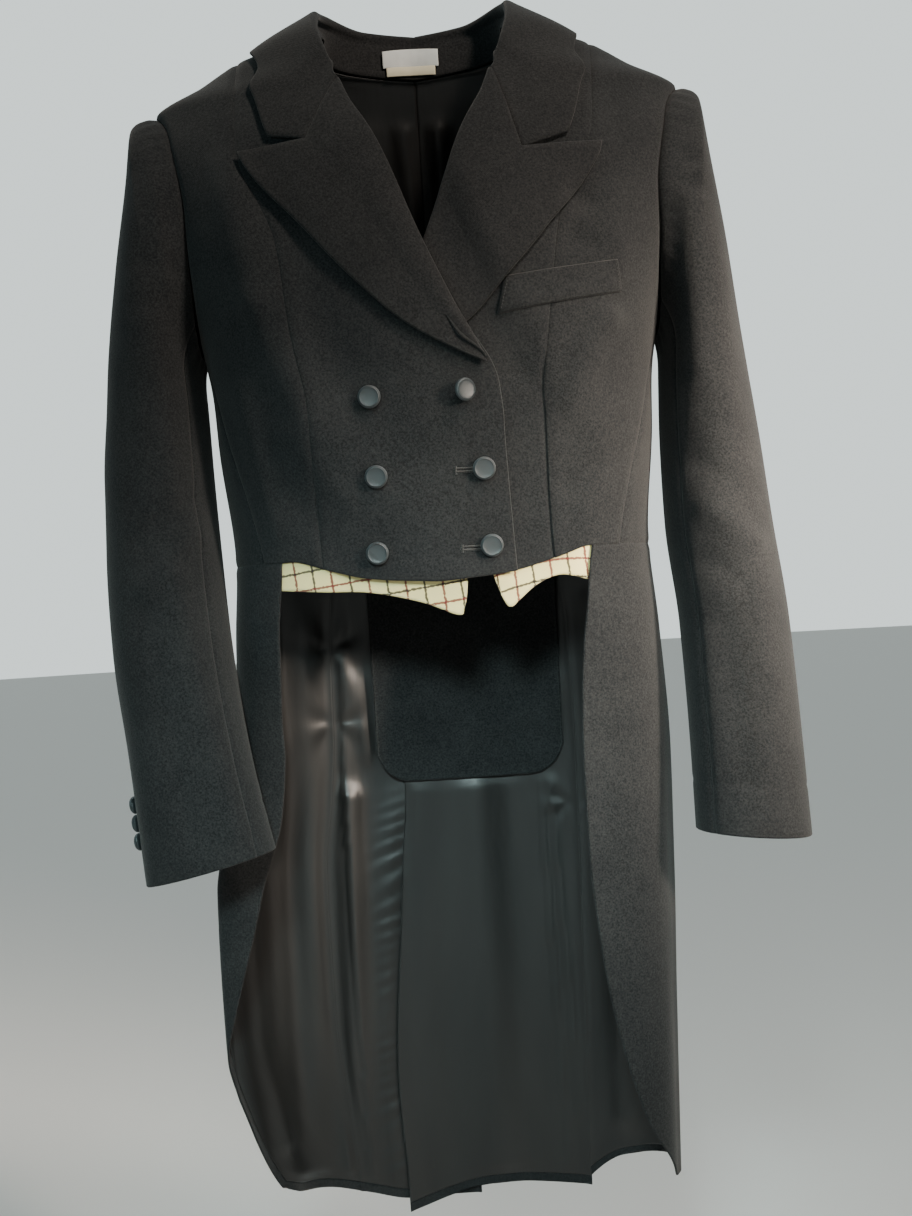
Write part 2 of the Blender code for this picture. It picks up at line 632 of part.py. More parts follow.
def make_saddle_patch(wool):
    """The wool patch inside the tails: a plain top at the waist, and rounded lower corners."""
    columns, rows = 10, 7
    share = np.linspace(-1.0, 1.0, columns + 1)
    middle, half = sum(PATCH_SIDES) / 2, (PATCH_SIDES[1] - PATCH_SIDES[0]) / 2
    x = middle + half * share
    to_side = np.clip((np.abs(x - middle) - (half - PATCH_CORNER)) / PATCH_CORNER, 0.0, 0.96)
    foot = PATCH_FOOT + PATCH_CORNER * (1.0 - np.sqrt(1.0 - to_side ** 2))
    down = np.linspace(0.0, 1.0, rows + 1)[:, None]
    height = (WAIST - PATCH_TOP_DROP) * (1 - down) + foot[None] * down
    angle = 180.0 - front_angle(x[None] + 0.0 * height, height)
    chart = np.stack([angle, height], axis=-1)
    drop = VENT_DROP * ease(chart[..., 0], VENT_DROP_FROM - 6.0, VENT_DROP_TO - 3.0)
    drop = drop * ease(height, *PATCH_DROP_HEIGHTS)
    out = -(WOOL + SATIN + 2 * LAYER_GAP + PATCH_SEAT) - drop
    panel("saddle_patch", chart, 1, wool, out)


def sleeve_points(turn, share, side):
    """Points of a sleeve: from the armhole out over the cap, then down through the sleeve's rings."""
    turn, share = np.broadcast_arrays(np.asarray(turn, float), np.asarray(share, float))
    start_chart = armhole(turn)
    under = ease(-np.cos(np.radians(turn)), 0.2, 0.95)
    seat = SLEEVE_SEAT + UNDERARM_ROOM * under
    start = form(side * start_chart[..., 0], start_chart[..., 1], seat)
    cosine, sine = np.cos(np.radians(turn)), np.sin(np.radians(turn))
    end_height = CUFF_HEIGHT[side] - CUFF_TILT[side] * cosine
    height = start[..., 2] + share * (end_height - start[..., 2])
    rings = SLEEVE_RINGS[side]
    near, outer, front, behind = (curve(rings[:, 0], rings[:, k], height) for k in (1, 2, 3, 4))
    x = (near + outer) / 2 + (outer - near) / 2 * cosine
    y = (front + behind) / 2 + (behind - front) / 2 * sine
    cap = SLEEVE_CAP_TOP + (SLEEVE_CAP_SIDE - SLEEVE_CAP_TOP) * np.clip(1.0 - cosine, 0.0, 1.0)
    fall = np.clip((start[..., 2] - height) / cap, 0.0, 1.0)
    reach = (1.0 - (1.0 - fall) ** 2) ** (0.5 + 0.5 * under)
    x = start[..., 0] * (1 - reach) + side * x * reach
    y = start[..., 1] * (1 - reach) + y * reach
    return np.stack([x, y, height], axis=-1)


def sleeve_walls(turns, side):
    """Outer and inner grids of a sleeve piece. Its thickness lies inside the sleeve."""
    turn, share = np.meshgrid(turns, SLEEVE_ROWS)
    outer = sleeve_points(turn, share, side)
    around = sleeve_points(turn + 1.0, share, side) - sleeve_points(turn - 1.0, share, side)
    ahead, behind = np.minimum(share + 0.002, 1.0), np.maximum(share - 0.002, 0.0)
    along = sleeve_points(turn, ahead, side) - sleeve_points(turn, behind, side)
    normal = side * np.cross(along, around)
    normal /= np.linalg.norm(normal, axis=-1, keepdims=True)
    return outer, outer - normal * WOOL


def make_sleeves(wool, button_finish):
    """Two-piece sleeves with three touching buttons beside the hind seam of each cuff."""
    for side, word in ((-1, "right"), (1, "left")):
        hind = HIND_SEAM_TURN[side]
        top_turns = np.arange(FOREARM_SEAM_TURN, hind + 1, ARMHOLE_STEP)
        under_turns = np.arange(hind, FOREARM_SEAM_TURN + 361, ARMHOLE_STEP)
        wall(f"top_sleeve_{word}", *sleeve_walls(top_turns, side), wool)
        wall(f"under_sleeve_{word}", *sleeve_walls(under_turns, side), wool)
        for number in range(CUFF_BUTTON_COUNT):
            height = CUFF_HEIGHT[side] + CUFF_BUTTON_START + CUFF_BUTTON_PITCH * number
            share = cuff_share(hind - ARMHOLE_STEP / 2, height, side)
            point, normal = sleeve_spot(hind - ARMHOLE_STEP / 2, share, side)
            add_button(f"cuff_button_{word}_{number + 1}", point, normal, CUFF_BUTTON_RADIUS,
                       CUFF_BUTTON_SHANK, CUFF_BUTTON_SIDES, button_finish)


def cuff_share(turn, height, side):
    """How far down a sleeve's line a height is, as a share."""
    top = float(sleeve_points(turn, 0.0, side)[2])
    foot = float(sleeve_points(turn, 1.0, side)[2])
    return (top - height) / (top - foot)


def sleeve_spot(turn, share, side):
    """A point halfway between two of a sleeve's lines, on the flat facet there, and its outward direction."""
    half = ARMHOLE_STEP / 2
    one, other = sleeve_points(turn - half, share, side), sleeve_points(turn + half, share, side)
    along = sleeve_points(turn, share + 0.02, side) - sleeve_points(turn, share - 0.02, side)
    normal = side * np.cross(along, other - one)
    return (one + other) / 2, normal / np.linalg.norm(normal)


def add_button(name, seat, normal, radius, shank, sides, finish, turn=0.0):
    """A turned button on a short shank: a disc with a rounded rim and a slightly dished face."""
    back = LAYER_GAP + shank
    profile = [(0.0, LAYER_GAP), (BUTTON_SHANK * 0.8, LAYER_GAP), (BUTTON_SHANK, back)]
    profile += [(radius * width, back + BUTTON_THICKNESS * rise) for width, rise in BUTTON_PROFILE]
    up = np.array([0.0, 0.0, 1.0])
    over = np.cross(up, normal)
    over /= np.linalg.norm(over)
    rise = np.cross(normal, over)
    tilt = math.radians(turn)
    face_over = over * math.cos(tilt) + normal * math.sin(tilt)
    face_normal = normal * math.cos(tilt) - over * math.sin(tilt)
    angles = 2 * np.pi * np.arange(sides) / sides
    points, rings = [], []
    pivot = seat + normal * back
    for step, (ring_radius, lift) in enumerate(profile):
        on_shank = step < 3
        axis_over, axis_normal = (over, normal) if step < 2 else (face_over, face_normal)
        centre = seat + normal * lift if on_shank else pivot + axis_normal * (lift - back)
        if ring_radius == 0.0:
            rings.append([len(points)])
            points.append(centre)
            continue
        rings.append(list(range(len(points), len(points) + sides)))
        for angle in angles:
            points.append(centre + ring_radius * (axis_over * math.cos(angle) + rise * math.sin(angle)))
    faces = []
    for low, high in zip(rings, rings[1:]):
        for step in range(sides):
            following = (step + 1) % sides
            if len(low) == 1:
                faces.append((low[0], high[step], high[following]))
            elif len(high) == 1:
                faces.append((low[step], low[following], high[0]))
            else:
                faces.append((low[step], low[following], high[following]))
                faces.append((low[step], high[following], high[step]))
    return add_mesh(name, points, faces, finish)


def make_front_buttons(finish):
    """Six buttons in two columns on the over front."""
    for number, (x, height, shank, turn) in enumerate(FRONT_BUTTONS, start=1):
        angle = front_angle(x, height)
        add_button(f"button_{number}", form(angle, height, LAYER_GAP), outward(angle, height), BUTTON_RADIUS,
                   shank, BUTTON_SIDES, finish, turn)


def collar_base(side):
    """Collar stations as smooth columns: seam angle and height, fold point, edge angle and height."""
    share = np.linspace(0.0, 1.0, COLLAR_COLUMNS)
    keys = np.linspace(0.0, 1.0, len(COLLAR_STATIONS))
    columns = np.stack([curve(keys, COLLAR_STATIONS[:, column], share) for column in range(7)], axis=-1)
    seam = form(side * columns[:, 0], columns[:, 1])
    fold = columns[:, 2:5] * np.array([side, 1.0, 1.0])
    rise = (fold - seam) * (1.0 - ease(share, 0.85, 1.0))[:, None]
    return share, columns, rise


def gorge(side):
    """The seam between collar and lapel, from the roll line to the notch."""
    foot = NOTCH[side][0]
    points = line(GORGE_TOP, foot, GORGE_STEPS)
    return np.stack([front_angle(points[:, 0], points[:, 1]), points[:, 1]], axis=-1)


def collar_half(side):
    """Inner face of the collar's fall on one side: the form, raised towards the fold by the stand."""
    share, columns, rise = collar_base(side)
    corner_x, corner_height = NOTCH[side][1]
    corner = np.array([front_angle(corner_x, corner_height), corner_height])
    end = np.vstack([gorge(side), corner])
    down = np.linspace(0.0, 1.0, len(end))[:, None]
    seam, edge = columns[:, 0:2], columns[:, 5:7].copy()
    ending = ease(share, NOTCH_FROM, 1.0)[:, None]
    edge += ending * (corner - edge[-1])
    chart = (1 - down)[..., None] * seam[None] + down[..., None] * edge[None]
    chart += ending[None] * (end - ((1 - down) * seam[-1] + down * edge[-1]))[:, None]
    points = form(side * chart[..., 0], chart[..., 1], COLLAR_LIFT)
    return points + rise[None] * (1 - down)[..., None]


def make_collar(wool):
    """The fall, folded over the stand, and the stand inside the neck."""
    right, left = collar_half(-1), collar_half(1)
    inner = np.concatenate([right[:, ::-1], left[:, 1:]], axis=1)
    wall("collar_fall", inner - grid_normals(inner) * COLLAR_CLOTH, inner, wool)
    outer = stand_grid()
    wall("collar_stand", outer, outer - grid_normals(outer) * WOOL, wool)


def stand_grid():
    """Outer face of the collar stand: from the neck seam up to just inside the fold."""
    halves = []
    for side in (-1, 1):
        _, columns, rise = collar_base(side)
        columns, rise = columns[:STAND_COLUMNS], rise[:STAND_COLUMNS]
        seam = form(side * columns[:, 0], columns[:, 1])
        toward_neck = -seam * np.array([1.0, 1.0, 0.0])
        toward_neck /= np.linalg.norm(toward_neck, axis=-1, keepdims=True)
        seam = seam + toward_neck * (WOOL + SATIN + 3 * LAYER_GAP)
        height = np.array([0.0, 0.5, STAND_TOP])[:, None, None]
        halves.append(seam[None] + np.array([0.0, 0.0, 2 * LAYER_GAP]) + rise[None] * height)
    return np.concatenate([halves[0][:, ::-1], halves[1][:, 1:]], axis=1)


def make_lapels(wool):
    """Peaked lapels, from the roll line out to their edge, on the fronts."""
    for side, word in ((-1, "right"), (1, "left")):
        edge = LAPEL_EDGE[side]
        top = np.vstack([gorge(side), seen_line(NOTCH[side][0], NOTCH[side][2], GORGE_STEPS)[1:]])
        roll_heights = np.linspace(GORGE_TOP[1], LAPEL_END + 0.003, LAPEL_ROWS)
        roll = seen_at(FRONT_EDGE, roll_heights)
        roll[0] = top[0]
        across = np.linspace(edge[0, 0], edge[-1, 0], LAPEL_ROWS)
        outer_heights = curve(edge[:, 0], edge[:, 1], across)
        outer = np.stack([front_angle(across, outer_heights), outer_heights], axis=-1)
        chart = fill(top, line(roll[-1], outer[-1], len(top) - 1), roll, outer)
        over = np.linspace(0.0, 1.0, len(top))[None, :]
        dropped = front_out(chart, side)
        free = 1.0 + np.minimum(dropped / UNDER_DROP, 0.0).clip(-1.0)
        lift = LAPEL_EDGE_LIFT * over + LAPEL_ROLL * np.sin(np.pi * np.minimum(over * 2.2, 1.0))
        out = dropped + LAPEL_LIFT[side] + lift * free + COLLAR_CLOTH
        panel(f"lapel_{word}", chart, side, wool, out, COLLAR_CLOTH)


def seen_line(start, end, count):
    """A straight line seen from the front, as angles and heights."""
    points = line(start, end, count)
    return np.stack([front_angle(points[:, 0], points[:, 1]), points[:, 1]], axis=-1)


def make_welt(wool):
    """The slanted chest welt, across the bust seam of the wearer's left front."""
    columns, rows = 8, 2
    top, foot = line(*WELT_TOP, columns), line(*WELT_FOOT, columns)
    down = np.linspace(0.0, 1.0, rows + 1)[:, None, None]
    points = top[None] * (1 - down) + foot[None] * down
    chart = np.stack([front_angle(points[..., 0], points[..., 1]), points[..., 1]], axis=-1)
    panel("chest_welt", chart, 1, wool, front_out(chart, 1) + WELT_LIFT + WOOL)


def make_vest_points(check):
    """The pair of waistcoat points, tucked behind the fronts' hem."""
    for word, table in VEST_POINTS.items():
        x = np.interp(np.linspace(0, len(table) - 1, VEST_COLUMNS + 1), np.arange(len(table)), table[:, 0])
        foot = np.interp(x, table[:, 0], table[:, 1])
        top = hem_height(x) + VEST_TUCK
        down = np.linspace(0.0, 1.0, 4)[:, None]
        height = top * (1 - down) + foot * down
        angle = front_angle(x[None] + 0.0 * height, height)
        chart = np.stack([angle, height], axis=-1)
        behind_both = UNDER_DROP * ease(x, -0.092, -0.070) * (1.0 - ease(x, 0.074, 0.109))
        out = -(WOOL + VEST_SEAT) - behind_both[None] + 0.0 * height
        panel(f"vest_point_{word}", chart, 1, check, out, CHECK_CLOTH)


def make_labels(tape):
    """Two bare labels on the inner face of the collar stand."""
    stand = stand_grid()
    inner = stand - grid_normals(stand) * WOOL
    middle = inner[:, inner.shape[1] // 2 - 3: inner.shape[1] // 2 + 4]
    ahead = np.array([0.0, -1.0, 0.0])
    for name, (x_start, x_end, top, foot) in (("label_woven", WOVEN_LABEL), ("label_size", SIZE_LABEL)):
        x = np.linspace(x_start, x_end, 9)
        rows = []
        for share in (top, foot):
            face = middle[0] * (1 - share) + middle[-1] * share
            y, z = curve(face[:, 0], face[:, 1], x), curve(face[:, 0], face[:, 2], x)
            rows.append(np.stack([x, y, z], axis=-1))
        back = np.array(rows)
        wall(name, back + ahead * (LABEL_SEAT + LABEL_TAPE), back + ahead * LABEL_SEAT, tape)


def main():
    for old in list(bpy.data.objects):
        bpy.data.objects.remove(old, do_unlink=True)
    wool = material("charcoal_wool", (0.022, 0.020, 0.019), 0.85)
    collar_wool = material("charcoal_collar_wool", (0.020, 0.018, 0.017), 0.85)
    satin = material("black_satin", (0.010, 0.010, 0.010), 0.35)
    check = material("cream_check_wool", (0.62, 0.58, 0.44), 0.80)
    horn = material("slate_button", (0.035, 0.038, 0.042), 0.45)
    tape = material("white_woven_tape", (0.75, 0.75, 0.72), 0.70)
    make_body(wool, satin)
    make_saddle_patch(wool)
    make_sleeves(wool, horn)
    make_collar(collar_wool)
    make_lapels(collar_wool)
    make_welt(wool)
    make_vest_points(check)
    make_front_buttons(horn)
    make_labels(tape)


main()
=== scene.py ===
"""Shadbelly coat: the looks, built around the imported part.

Laid out as a Blender add-on and run as a script. Metres, +Z up, front towards -Y, the wearer's left
towards +X. The cloth follows one surface, the coat's form, a stack of level rings. A point of it is named
by its angle round the body (0 at the centre front, 90 at the wearer's left, 180 at the centre back) and
its height. Each cut piece is a fine grid of such points between its seams, lifted by folds and drags,
pressed down along its seams and given its own thickness.
"""
import math

import bpy
import numpy as np
from mathutils import Matrix, Vector


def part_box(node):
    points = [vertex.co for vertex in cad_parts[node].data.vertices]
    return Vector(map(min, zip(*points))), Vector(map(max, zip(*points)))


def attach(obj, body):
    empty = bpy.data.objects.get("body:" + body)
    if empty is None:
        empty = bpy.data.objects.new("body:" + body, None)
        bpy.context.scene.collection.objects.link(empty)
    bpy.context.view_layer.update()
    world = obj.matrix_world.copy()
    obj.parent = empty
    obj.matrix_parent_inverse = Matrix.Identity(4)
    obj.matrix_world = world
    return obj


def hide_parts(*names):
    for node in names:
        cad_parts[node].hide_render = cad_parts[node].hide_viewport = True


bl_info = {
    "name": "Shadbelly coat",
    "version": (1, 0, 0),
    "blender": (4, 5, 0),
    "location": "View3D > Sidebar > Coat",
    "description": "Builds the cloth, lining, trim and finish of a shadbelly tailcoat around its frame",
    "category": "Add Mesh",
}

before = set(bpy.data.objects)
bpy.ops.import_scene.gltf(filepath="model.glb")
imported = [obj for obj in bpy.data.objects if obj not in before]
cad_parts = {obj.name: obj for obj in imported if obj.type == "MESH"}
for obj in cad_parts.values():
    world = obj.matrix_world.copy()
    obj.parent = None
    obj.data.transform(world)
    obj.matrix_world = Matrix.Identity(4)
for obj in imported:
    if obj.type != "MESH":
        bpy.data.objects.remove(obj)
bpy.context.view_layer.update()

# Cloth
WOOL = 0.0018
COLLAR_CLOTH = 0.0022
SATIN = 0.0010
CHECK_CLOTH = 0.0015
LAYER_GAP = 0.0003

# The two sides of the coat, as signs of x and as the words in the pieces' names
SIDES = ((-1, "right"), (1, "left"))

# Heights
WAIST = -0.4345
LAPEL_END = -0.2915

# The coat's form: height, half width, depth in front, depth behind, squareness of the ring
BODY_RINGS = np.array([
    (0.012, 0.040, 0.025, 0.034, 2.0),
    (0.000, 0.078, 0.036, 0.048, 2.0),
    (-0.019, 0.145, 0.050, 0.060, 2.0),
    (-0.040, 0.181, 0.062, 0.068, 2.0),
    (-0.060, 0.216, 0.073, 0.075, 2.0),
    (-0.100, 0.223, 0.090, 0.086, 2.2),
    (-0.150, 0.213, 0.103, 0.094, 2.4),
    (-0.200, 0.200, 0.111, 0.097, 2.6),
    (-0.260, 0.186, 0.115, 0.095, 2.6),
    (-0.300, 0.180, 0.114, 0.091, 2.6),
    (-0.340, 0.178, 0.111, 0.086, 2.6),
    (-0.430, 0.170, 0.100, 0.079, 2.6),
    (-0.500, 0.174, 0.090, 0.085, 3.0),
    (-0.600, 0.178, 0.083, 0.094, 3.0),
    (-0.700, 0.176, 0.085, 0.098, 3.0),
    (-0.800, 0.172, 0.085, 0.100, 3.0),
    (-0.970, 0.166, 0.085, 0.105, 3.0),
])
RING_HEIGHT, HALF_WIDTH, FRONT_DEPTH, BACK_DEPTH, SQUARENESS = BODY_RINGS.T

# The wearer's right tail stands out further, and is pressed back by the sleeve in front of it:
# height, extra half width, depth taken off its front
RIGHT_TAIL = np.array([
    (-0.480, 0.000, 0.000),
    (-0.580, 0.000, 0.030),
    (-0.640, 0.009, 0.043),
    (-0.700, 0.024, 0.045),
    (-0.840, 0.029, 0.045),
    (-0.910, 0.021, 0.045),
    (-0.970, 0.012, 0.045),
])

# Largest vertical folds of the tails: angle, height where it begins, spread in degrees, depth
TAIL_FOLDS = np.array([
    (-137.0, -0.52, 7.0, 0.0060),
    (-122.0, -0.58, 6.0, -0.0050),
    (-158.0, -0.60, 7.0, -0.0040),
    (-75.0, -0.56, 9.0, 0.0030),
    (70.0, -0.56, 9.0, -0.0030),
    (112.0, -0.56, 8.0, 0.0050),
    (134.0, -0.60, 7.0, -0.0050),
])
FOLD_FADE = 0.14

# Every table of drags, folds and creases holds ends (across, height), spread and depth. Those of the
# body's front and back begin at this distance from the body's middle, and are whole at the second
DRAGS_BEGIN, DRAGS_WHOLE = 0.02, 0.05

# Broad drags on the fronts. Across is along +X.
FRONT_DRAGS = np.array([
    (-0.145, -0.150, -0.088, -0.340, 0.026, 0.0045),
    (-0.088, -0.340, -0.005, -0.420, 0.026, 0.0030),
    (-0.110, -0.200, -0.040, -0.350, 0.028, -0.0025),
    (0.125, -0.150, 0.112, -0.200, 0.016, -0.0030),
    (0.140, -0.265, 0.105, -0.330, 0.016, 0.0030),
])

# Armhole: an upright ellipse seen from the side
ARMHOLE_HEIGHT = -0.161
ARMHOLE_HALF_HEIGHT = 0.101
ARMHOLE_HALF_DEPTH = 0.058
ARMHOLE_STEP = 20
SIDE_SEAM_TURN = -160
BACK_SEAM_TURN = 120

# Roll line and front edge of either front, seen from the front: across, height
FRONT_EDGE = np.array([
    (0.079, -0.003),
    (0.078, -0.010),
    (0.071, -0.030),
    (0.061, -0.057),
    (0.031, -0.112),
    (0.000, -0.194),
    (-0.023, -0.246),
    (-0.046, -0.2915),
    (-0.052, -0.3145),
    (-0.053, -0.351),
    (-0.055, -0.406),
    (-0.057, -0.4505),
])

# Seam from mid shoulder to the hem of the front: across, height
BUST_SEAM = {
    -1: np.array([
        (0.145, -0.019), (0.1445, -0.050), (0.143, -0.107), (0.116, -0.185),
        (0.1065, -0.2576), (0.0933, -0.335), (0.095, -0.4036), (0.093, -0.4410),
    ]),
    1: np.array([
        (0.145, -0.019), (0.142, -0.050), (0.1365, -0.107), (0.110, -0.163),
        (0.099, -0.2206), (0.0905, -0.2785), (0.086, -0.319), (0.086, -0.387), (0.088, -0.4427),
    ]),
}

# Hem of the fronts: across, height
FRONT_HEM = np.array([
    (0.0, -0.4560), (0.055, -0.4515), (0.093, -0.4415), (0.117, WAIST), (0.2, WAIST),
])

# Seams given by their angle: height, angle
SIDE_SEAM = np.array([(-0.2559, 80.0), (-0.300, 68.0), (-0.360, 57.0), (WAIST, 50.0)])
TAIL_SEAM = 147.0
BACK_SEAM = np.array([(-0.2115, 119.0), (-0.260, 124.0), (-0.340, 136.0), (-0.400, 144.0),
                      (WAIST, TAIL_SEAM), (-1.000, TAIL_SEAM)])

# Front edge of each tail's skirt: height, angle
SKIRT_EDGE = {
    -1: np.array([
        (WAIST, 43.4), (-0.499, 42.9), (-0.556, 43.4), (-0.632, 43.0), (-0.680, 45.0), (-0.741, 51.0),
        (-0.783, 58.0), (-0.820, 69.0), (-0.860, 84.0), (-0.900, 98.0), (-0.967, 116.0),
    ]),
    1: np.array([
        (WAIST, 40.0), (-0.499, 34.5), (-0.555, 32.2), (-0.611, 31.4), (-0.686, 31.9), (-0.733, 33.2),
        (-0.780, 35.3), (-0.852, 41.0), (-0.890, 46.5), (-0.933, 58.0), (-0.948, 72.0),
    ]),
}

# Tail hems: angle, height
SKIRT_HEM = {
    -1: np.array([(116.0, -0.967), (128.0, -0.978), (141.0, -0.985), (147.0, -0.990)]),
    1: np.array([(72.0, -0.948), (120.0, -0.957), (138.0, -0.968), (147.0, -0.988)]),
}
BACK_HEM = {
    -1: np.array([(147.0, -0.990), (162.0, -1.000), (180.0, -1.000)]),
    1: np.array([(147.0, -0.996), (174.0, -0.991), (197.5, -1.010)]),
}

# Rows of the grids: heights at each side of a piece
FRONT_EDGE_ROWS = [0.0, -0.010, -0.030, -0.062, -0.100, -0.145, -0.194, -0.245, LAPEL_END,
                   -0.322, -0.354, -0.386, -0.420]
BUST_SEAM_ROWS = [-0.019, -0.027, -0.045, -0.073, -0.110, -0.150, -0.190, -0.228, -0.262,
                  -0.295, -0.330, -0.365, -0.400]
SIDE_SEAM_ROWS = [-0.290, -0.325, -0.360, -0.400, WAIST]
BACK_SEAM_ROWS = [-0.255, -0.300, -0.345, -0.390, WAIST]
TAIL_ROWS = [0.0, 0.06, 0.12, 0.17, 0.24, 0.32, 0.41, 0.50, 0.59, 0.68, 0.77, 0.85, 0.92, 0.985, 1.0]

# The wearer's left back runs on past the centre, under the other tail
VENT_TURN = 17.5
VENT_ROWS = (-0.53, -0.575)
VENT_DROP = 0.0046
VENT_DROP_FROM, VENT_DROP_TO = 165.0, 176.0
VENT_DROP_HEIGHTS = (-0.480, -0.518)

# The wearer's left front lies under the right one: how deep, beside the lapel and below it
UNDER_DROP_LAPEL = 0.0072
UNDER_DROP = 0.0038
UNDER_FROM, UNDER_TO = 0.052, 0.012

# Sleeves: height, x of the side next to the body, x of the outer side, y in front, y behind
SLEEVE_RINGS = {
    1: np.array([
        (-0.060, 0.188, 0.231, -0.060, 0.052),
        (-0.120, 0.188, 0.238, -0.066, 0.056),
        (-0.190, 0.188, 0.247, -0.070, 0.056),
        (-0.262, 0.189, 0.254, -0.071, 0.052),
        (-0.300, 0.186, 0.258, -0.072, 0.047),
        (-0.360, 0.183, 0.264, -0.074, 0.036),
        (-0.420, 0.182, 0.268, -0.080, 0.022),
        (-0.500, 0.187, 0.274, -0.090, 0.002),
        (-0.580, 0.188, 0.276, -0.098, -0.014),
        (-0.670, 0.187, 0.277, -0.111, -0.029),
    ]),
    -1: np.array([
        (-0.060, 0.188, 0.234, -0.060, 0.052),
        (-0.120, 0.188, 0.242, -0.066, 0.056),
        (-0.190, 0.188, 0.254, -0.070, 0.056),
        (-0.262, 0.189, 0.264, -0.071, 0.052),
        (-0.300, 0.186, 0.267, -0.072, 0.047),
        (-0.360, 0.183, 0.271, -0.076, 0.035),
        (-0.420, 0.179, 0.271, -0.083, 0.021),
        (-0.500, 0.172, 0.267, -0.095, -0.002),
        (-0.580, 0.161, 0.257, -0.101, -0.022),
        (-0.670, 0.142, 0.248, -0.105, -0.039),
    ]),
}
SLEEVE_CAP_TOP = 0.016
SLEEVE_CAP_SIDE = 0.045
UNDERARM_ROOM = 0.0012

# How squarely a sleeve leaves the armhole: the fall's power and the reach's, at the shoulder, and how
# much either changes down to the underarm
SLEEVE_HEAD_POWERS = (4.4, 0.66)
UNDERARM_CHANGE = (-2.4, 0.34)
FOREARM_SEAM_TURN = -140
CUFF_HEIGHT = {1: -0.6665, -1: -0.6695}
CUFF_TILT = {1: 0.0045, -1: 0.0115}
HIND_SEAM_TURN = {1: 40, -1: 20}

# Collar, from the centre back to the gorge:
# seam angle and height, the fold's x, y and z, edge angle and height
COLLAR_STATIONS = np.array([
    (180.0, -0.0200, 0.0000, 0.066, 0.014, 180.0, -0.0420),
    (150.0, -0.0130, 0.0420, 0.059, 0.018, 152.0, -0.0360),
    (118.0, -0.0040, 0.0710, 0.032, 0.023, 118.0, -0.0200),
    (90.0, 0.0000, 0.0810, 0.002, 0.019, 90.0, -0.0125),
    (43.6, -0.0100, 0.0795, -0.032, -0.001, 57.5, -0.0200),
    (25.5, -0.0300, 0.0725, -0.055, -0.028, 38.0, -0.0480),
    (16.7, -0.0570, 0.0615, -0.067, -0.057, 30.4, -0.1080),
])
COLLAR_LIFT = 0.0022
NOTCH_FROM = 0.62

# Where collar and lapel meet: the gorge's foot, the collar's corner, the lapel's tip
NOTCH = {
    -1: ((0.0862, -0.109), (0.1155, -0.103), (0.1380, -0.115)),
    1: ((0.0790, -0.127), (0.1160, -0.114), (0.1410, -0.123)),
}
GORGE_TOP = (0.061, -0.057)
GORGE_STEPS = 3

# Outer edge of the lapels, from below the tip to the break: across, height
LAPEL_EDGE = {
    -1: np.array([(0.1380, -0.115), (0.1350, -0.124), (0.093, -0.178), (0.055, -0.223), (0.018, -0.2584),
                  (-0.018, -0.2804), (-0.0425, -0.2925)]),
    1: np.array([(0.1410, -0.123), (0.1395, -0.130), (0.093, -0.192), (0.055, -0.234), (0.032, -0.2575),
                 (0.000, -0.2770), (-0.0425, -0.2925)]),
}
LAPEL_LIFT = {-1: 0.0012, 1: 0.0020}
LAPEL_EDGE_LIFT = 0.0026
LAPEL_ROLL = 0.0016

# Chest welt: its four corners (across, height)
WELT_TOP = ((0.0605, -0.2285), (0.147, -0.2165))
WELT_FOOT = ((0.0540, -0.2555), (0.149, -0.2400))
WELT_LIFT = 0.0009

# Waistcoat points below the fronts: x, height of the lower edge
VEST_POINTS = {
    "right": np.array([(-0.130, -0.4560), (-0.095, -0.4595), (-0.056, -0.4630), (-0.0186, -0.4724),
                       (0.0093, -0.4836), (0.0150, -0.4790), (0.0186, -0.4600)]),
    "left": np.array([(0.0390, -0.4545), (0.0465, -0.4750), (0.0520, -0.4800), (0.0595, -0.4743),
                      (0.0744, -0.4630), (0.0930, -0.4566), (0.1160, -0.4613), (0.1200, -0.4560)]),
}
VEST_TUCK = 0.016
VEST_SEAT = 0.0008

# Saddle patch inside the tails: x of its sides, height of its foot, corner radius
PATCH_SIDES = (-0.069, 0.096)
PATCH_FOOT = -0.627
PATCH_CORNER = 0.030
PATCH_TOP_DROP = 0.004
PATCH_DROP_HEIGHTS = (-0.455, -0.495)
PATCH_SEAT = 0.0010

# Buttons
BUTTON_RADIUS = 0.0088
BUTTON_THICKNESS = 0.0042
BUTTON_SHANK = 0.0030
CUFF_BUTTON_RADIUS = 0.0070
CUFF_BUTTON_SHANK = 0.0012
CUFF_BUTTON_PITCH = 0.0144
CUFF_BUTTON_COUNT = 3
CUFF_BUTTON_START = 0.022
BUTTON_SIDES = 48
CUFF_BUTTON_SIDES = 36

# Front buttons: x, height, shank length, turn about the upright axis in degrees
FRONT_BUTTONS = np.array([
    (-0.0480, -0.3136, 0.0020, 0.0),
    (-0.0460, -0.3740, 0.0020, 0.0),
    (-0.0490, -0.4320, 0.0020, 0.0),
    (0.0240, -0.3127, 0.0052, -30.0),
    (0.0360, -0.3724, 0.0020, 0.0),
    (0.0386, -0.4310, 0.0020, 0.0),
])

